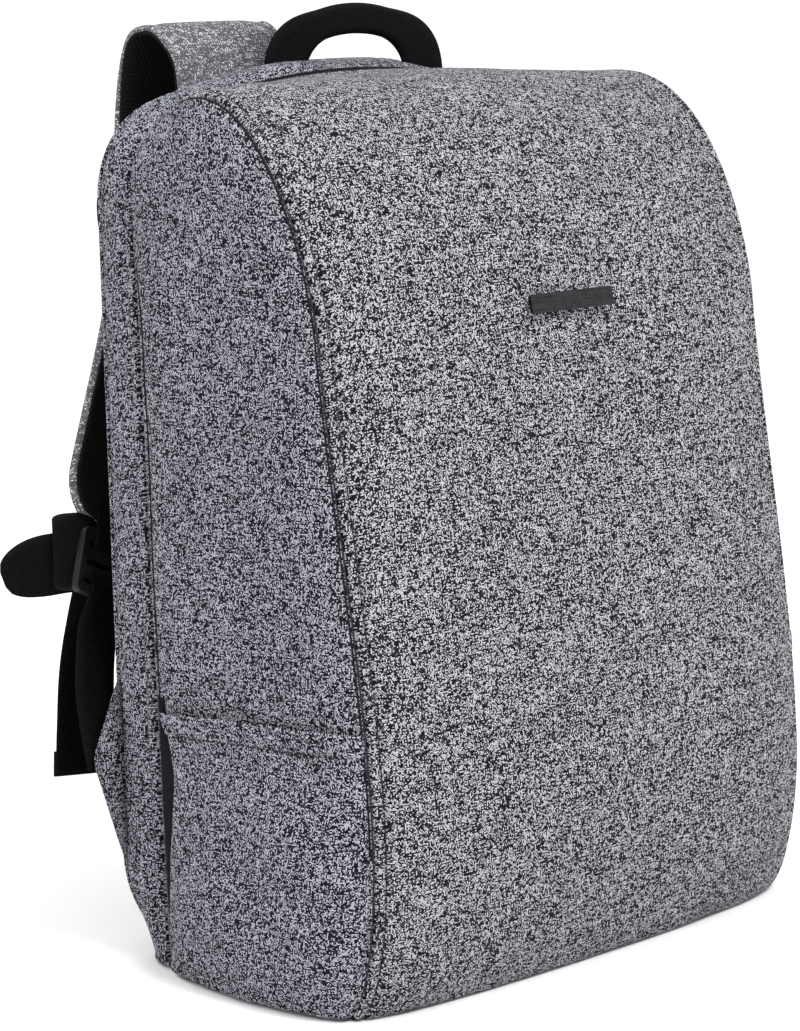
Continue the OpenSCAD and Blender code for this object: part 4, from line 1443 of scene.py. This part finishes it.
def build_pen_sleeve(materials):
    low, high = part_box("pen_sleeve")
    x0, x1, y0 = low.x / MM, high.x / MM, low.y / MM
    count = PEN_SLOTS * 16 + 1
    xs = np.linspace(x0, x1, count)
    wave = np.abs(np.sin(np.pi * (xs - x0) / (x1 - x0) * PEN_SLOTS)) ** 0.6
    zs = np.linspace(66, 158, 18)
    outer = np.array([[(x, y0 + 1.6 + 4.8 * w, z) for x, w in zip(xs, wave)] for z in zs])
    back = np.array([[(x, y0 + 0.3, z) for x in xs[::-1]] for z in zs])
    points = np.concatenate((outer, back), 1)
    uvs = uv_grid(np.linspace(0, 180, count * 2 + 1), zs)
    pens = grid_piece("pen_sleeve_cloth", points, uvs, materials["lining"], closed=True, caps=True)
    dress(pens, "shell", "lining_cloth", "pen_sleeve")


CUT_OUT_R = 62.0        # arc of the laptop sleeve's finger cut-out
CUT_OUT_RISE = 30.0     # how far its centre is above the sleeve's top


def build_laptop_sleeve(materials):
    """Padded pouch on the back section, with a bound top edge and a finger cut-out."""
    low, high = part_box("laptop_sleeve")
    x1, z0, z1 = high.x / MM, low.z / MM, high.z / MM
    front, rear = low.y / MM, high.y / MM
    xs = np.linspace(-x1, x1, 61)
    dip = np.where(np.abs(xs) < 54.5, np.sqrt(np.maximum(CUT_OUT_R**2 - xs**2, 0)) - CUT_OUT_RISE, 0)
    tops = z1 - np.maximum(dip, 0)
    z = z0 + (tops - z0) * np.linspace(0, 1, 40)[:, None]
    across = np.broadcast_to(xs, z.shape)
    points = np.stack((across, np.full(z.shape, front + 0.2), z), 2)
    uvs = np.stack((across, z), 2)
    edge = np.minimum(np.minimum(across + x1, x1 - across), z - z0)
    points = rumple(points, np.array((0, -1.0, 0)), 1.8, 55, 150.0, smooth(edge / 20))
    points[..., 1] += 3.0 * np.exp(-edge / 4)
    face = grid_piece("laptop_sleeve_front", points, uvs, materials["lining"])
    thicken(face, 3.6)
    dress(face, "back_section", "lining_cloth", "laptop_sleeve")
    for name, side in SIDES:
        corners = [(side * x1, y, z) for y, z in ((front + 3, z0), (rear, z0), (rear, z1), (front + 3, z1))]
        wall = box_sheet(f"laptop_sleeve_wall_{name}", corners, materials["lining"], 0.8)
        dress(wall, "back_section", "lining_cloth")
    corners = [(-x1, front + 3, z0), (x1, front + 3, z0), (x1, rear, z0), (-x1, rear, z0)]
    bottom = box_sheet("laptop_sleeve_bottom", corners, materials["lining"], 0.6)
    dress(bottom, "back_section", "lining_cloth")
    rim = np.stack((xs, np.full(61, front + 2.0), tops), 1)
    binding = strip_piece("laptop_sleeve_binding", rim, [webbing_section(9, 5.2, edge=0.4)] * 61,
                          materials["webbing"], wide=(0, 0, 1))
    dress(binding, "back_section", "webbing")
    rear_strap, front_strap = BACK_Y - 5, BACK_Y - 5 - 33
    path = [(0, rear_strap - 1, 346), (0, (rear_strap + front_strap) / 2, 347.2), (0, front_strap + 2, 345.6),
            (0, front_strap - 0.8, 341), (0, front_strap - 0.9, 320), (0, front_strap - 0.9, 281)]
    web_strip("sleeve_strap_web", path, 30, materials, 1, "sleeve_strap", "sleeve_strap", thickness=1.6,
              count=50)
    hook = rounded_outline(22, 26, 3)
    rings = [(0.02, 0.1), (0.97, 0.1), (1, 0.5), (0.97, 1.1), (0.02, 1.2)]
    patch = pillow("sleeve_strap_fastener", hook, rings,
                   lambda a, b, h: (a, front_strap - 1.7 - h, 298 + b), materials["tape"])
    dress(patch, "sleeve_strap", "zip_tape")


# ---- zip ----------------------------------------------------------------------------------------

def build_zip(materials):
    for name, y_edge, y_teeth, body, node in (
        ("shell", ZIP_Y - 7.5, ZIP_Y - 0.7, "shell", "zip_tape_shell"),
        ("back", ZIP_Y + 8.0, ZIP_Y + 0.9, "back_section", "zip_tape_back"),
    ):
        line = arch(0, 5.8, 36)
        out = arch_out(line)
        ys = np.linspace(y_edge, y_teeth, 5)
        section = [(y, 0.45) for y in ys] + [(y, -0.45) for y in ys[::-1]]
        points = np.array([[(p[0] + n[0] * h, y, p[1] + n[1] * h) for y, h in section]
                           for p, n in zip(line, out)])
        uvs = uv_grid(np.linspace(0, 16, len(section) + 1), length_along(line))
        tape = grid_piece(f"zip_tape_cloth_{name}", points, uvs, materials["tape"], closed=True, caps=True)
        dress(tape, body, "zip_tape", node)
        build_teeth(name, line, y_teeth, 1 if y_teeth > y_edge else -1, materials, body)


TOOTH_PITCH = 2.2


def build_teeth(name, line, y, way, materials, body):
    """A row of small teeth along the tape's edge. way is 1 where they point to the back."""
    spots = resample(line, int(length_along(line)[-1] / TOOTH_PITCH))
    points, faces = [], []
    shape = [(-0.55, -1.0, -0.7), (0.55, -1.0, -0.7), (0.55, 0.9, -0.5), (-0.55, 0.9, -0.5),
             (-0.55, -1.0, 0.9), (0.55, -1.0, 0.9), (0.4, 0.7, 0.7), (-0.4, 0.7, 0.7)]
    quads = [(0, 3, 2, 1), (4, 5, 6, 7), (0, 1, 5, 4), (1, 2, 6, 5), (2, 3, 7, 6), (3, 0, 4, 7)]
    for p, n, t in zip(spots, arch_out(spots), directions_along(spots)):
        base = len(points)
        for a, b, h in shape:
            xz = p + t * a + n * h
            points.append((xz[0], y + b * way * 0.8, xz[1]))
        faces += [tuple(base + k for k in quad) for quad in quads]
    uvs = [(0, 0)] * (4 * len(faces))
    teeth = new_piece(f"zip_teeth_{name}", points, faces, uvs, [materials["plastic"]])
    teeth.data.polygons.foreach_set("use_smooth", [False] * len(teeth.data.polygons))
    dress(teeth, body, "zip_tape")


def finish_hardware(materials):
    for place in ("upper", "lower"):
        soft_edged(f"zip_slider_{place}", f"zip_slider_{place}", "dark_metal", materials["metal"], 0.4)
        soft_edged(f"zip_pull_{place}", f"zip_pull_{place}", "buckle_plastic", materials["plastic"], 0.4)
    soft_edged("badge_plate", "shell", "dark_metal", materials["metal"], 0.25)
    finish_cad("badge_backing", materials["metal"])
    finish_cad("base_board", materials["board"])


def build_hinge_cloth(materials):
    """Strip of cloth at the foot that joins the shell's base to the back section."""
    ys = np.array([88.0, 92, 96, 99, 101.5, 103.5, 104.6, 105.0, 105.0, 105.2])
    zs = np.array([1.2, 1.2, 1.2, 1.2, 1.3, 1.9, 3.2, 5.0, 8.0, 12.0])
    reach = HALF_W - LOWER_TUCK - 6
    xs = np.linspace(-reach, reach, 40)
    points = np.array([[(x, y, z) for x in xs] for y, z in zip(ys, zs)])
    uvs = uv_grid(xs, length_along(np.stack((ys, zs), 1)))
    cloth = grid_piece("hinge_cloth", points, uvs, materials["side"])
    thicken(cloth, 1.2)
    apply_modifiers(cloth)
    dress(cloth, None, "heather_cloth")
    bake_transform(cloth)


# ---- the whole bag ------------------------------------------------------------------------------

def build_all():
    add_camera()
    add_studio()
    materials = make_materials()
    build_front(materials)
    for name, side in SIDES:
        build_side(name, side, materials)
        build_pocket(name, side, materials)
        build_strap(name, side, materials)
        build_webbing(name, side, materials)
        build_wing(name, side, materials)
        build_anchor(name, side, materials)
        build_small_webs(name, side, materials)
    build_base(materials)
    build_gusset(materials)
    build_back_panel(materials)
    build_pads(materials)
    build_handle(materials)
    build_inside(materials)
    build_zip(materials)
    build_hinge_cloth(materials)
    finish_hardware(materials)


build_all()
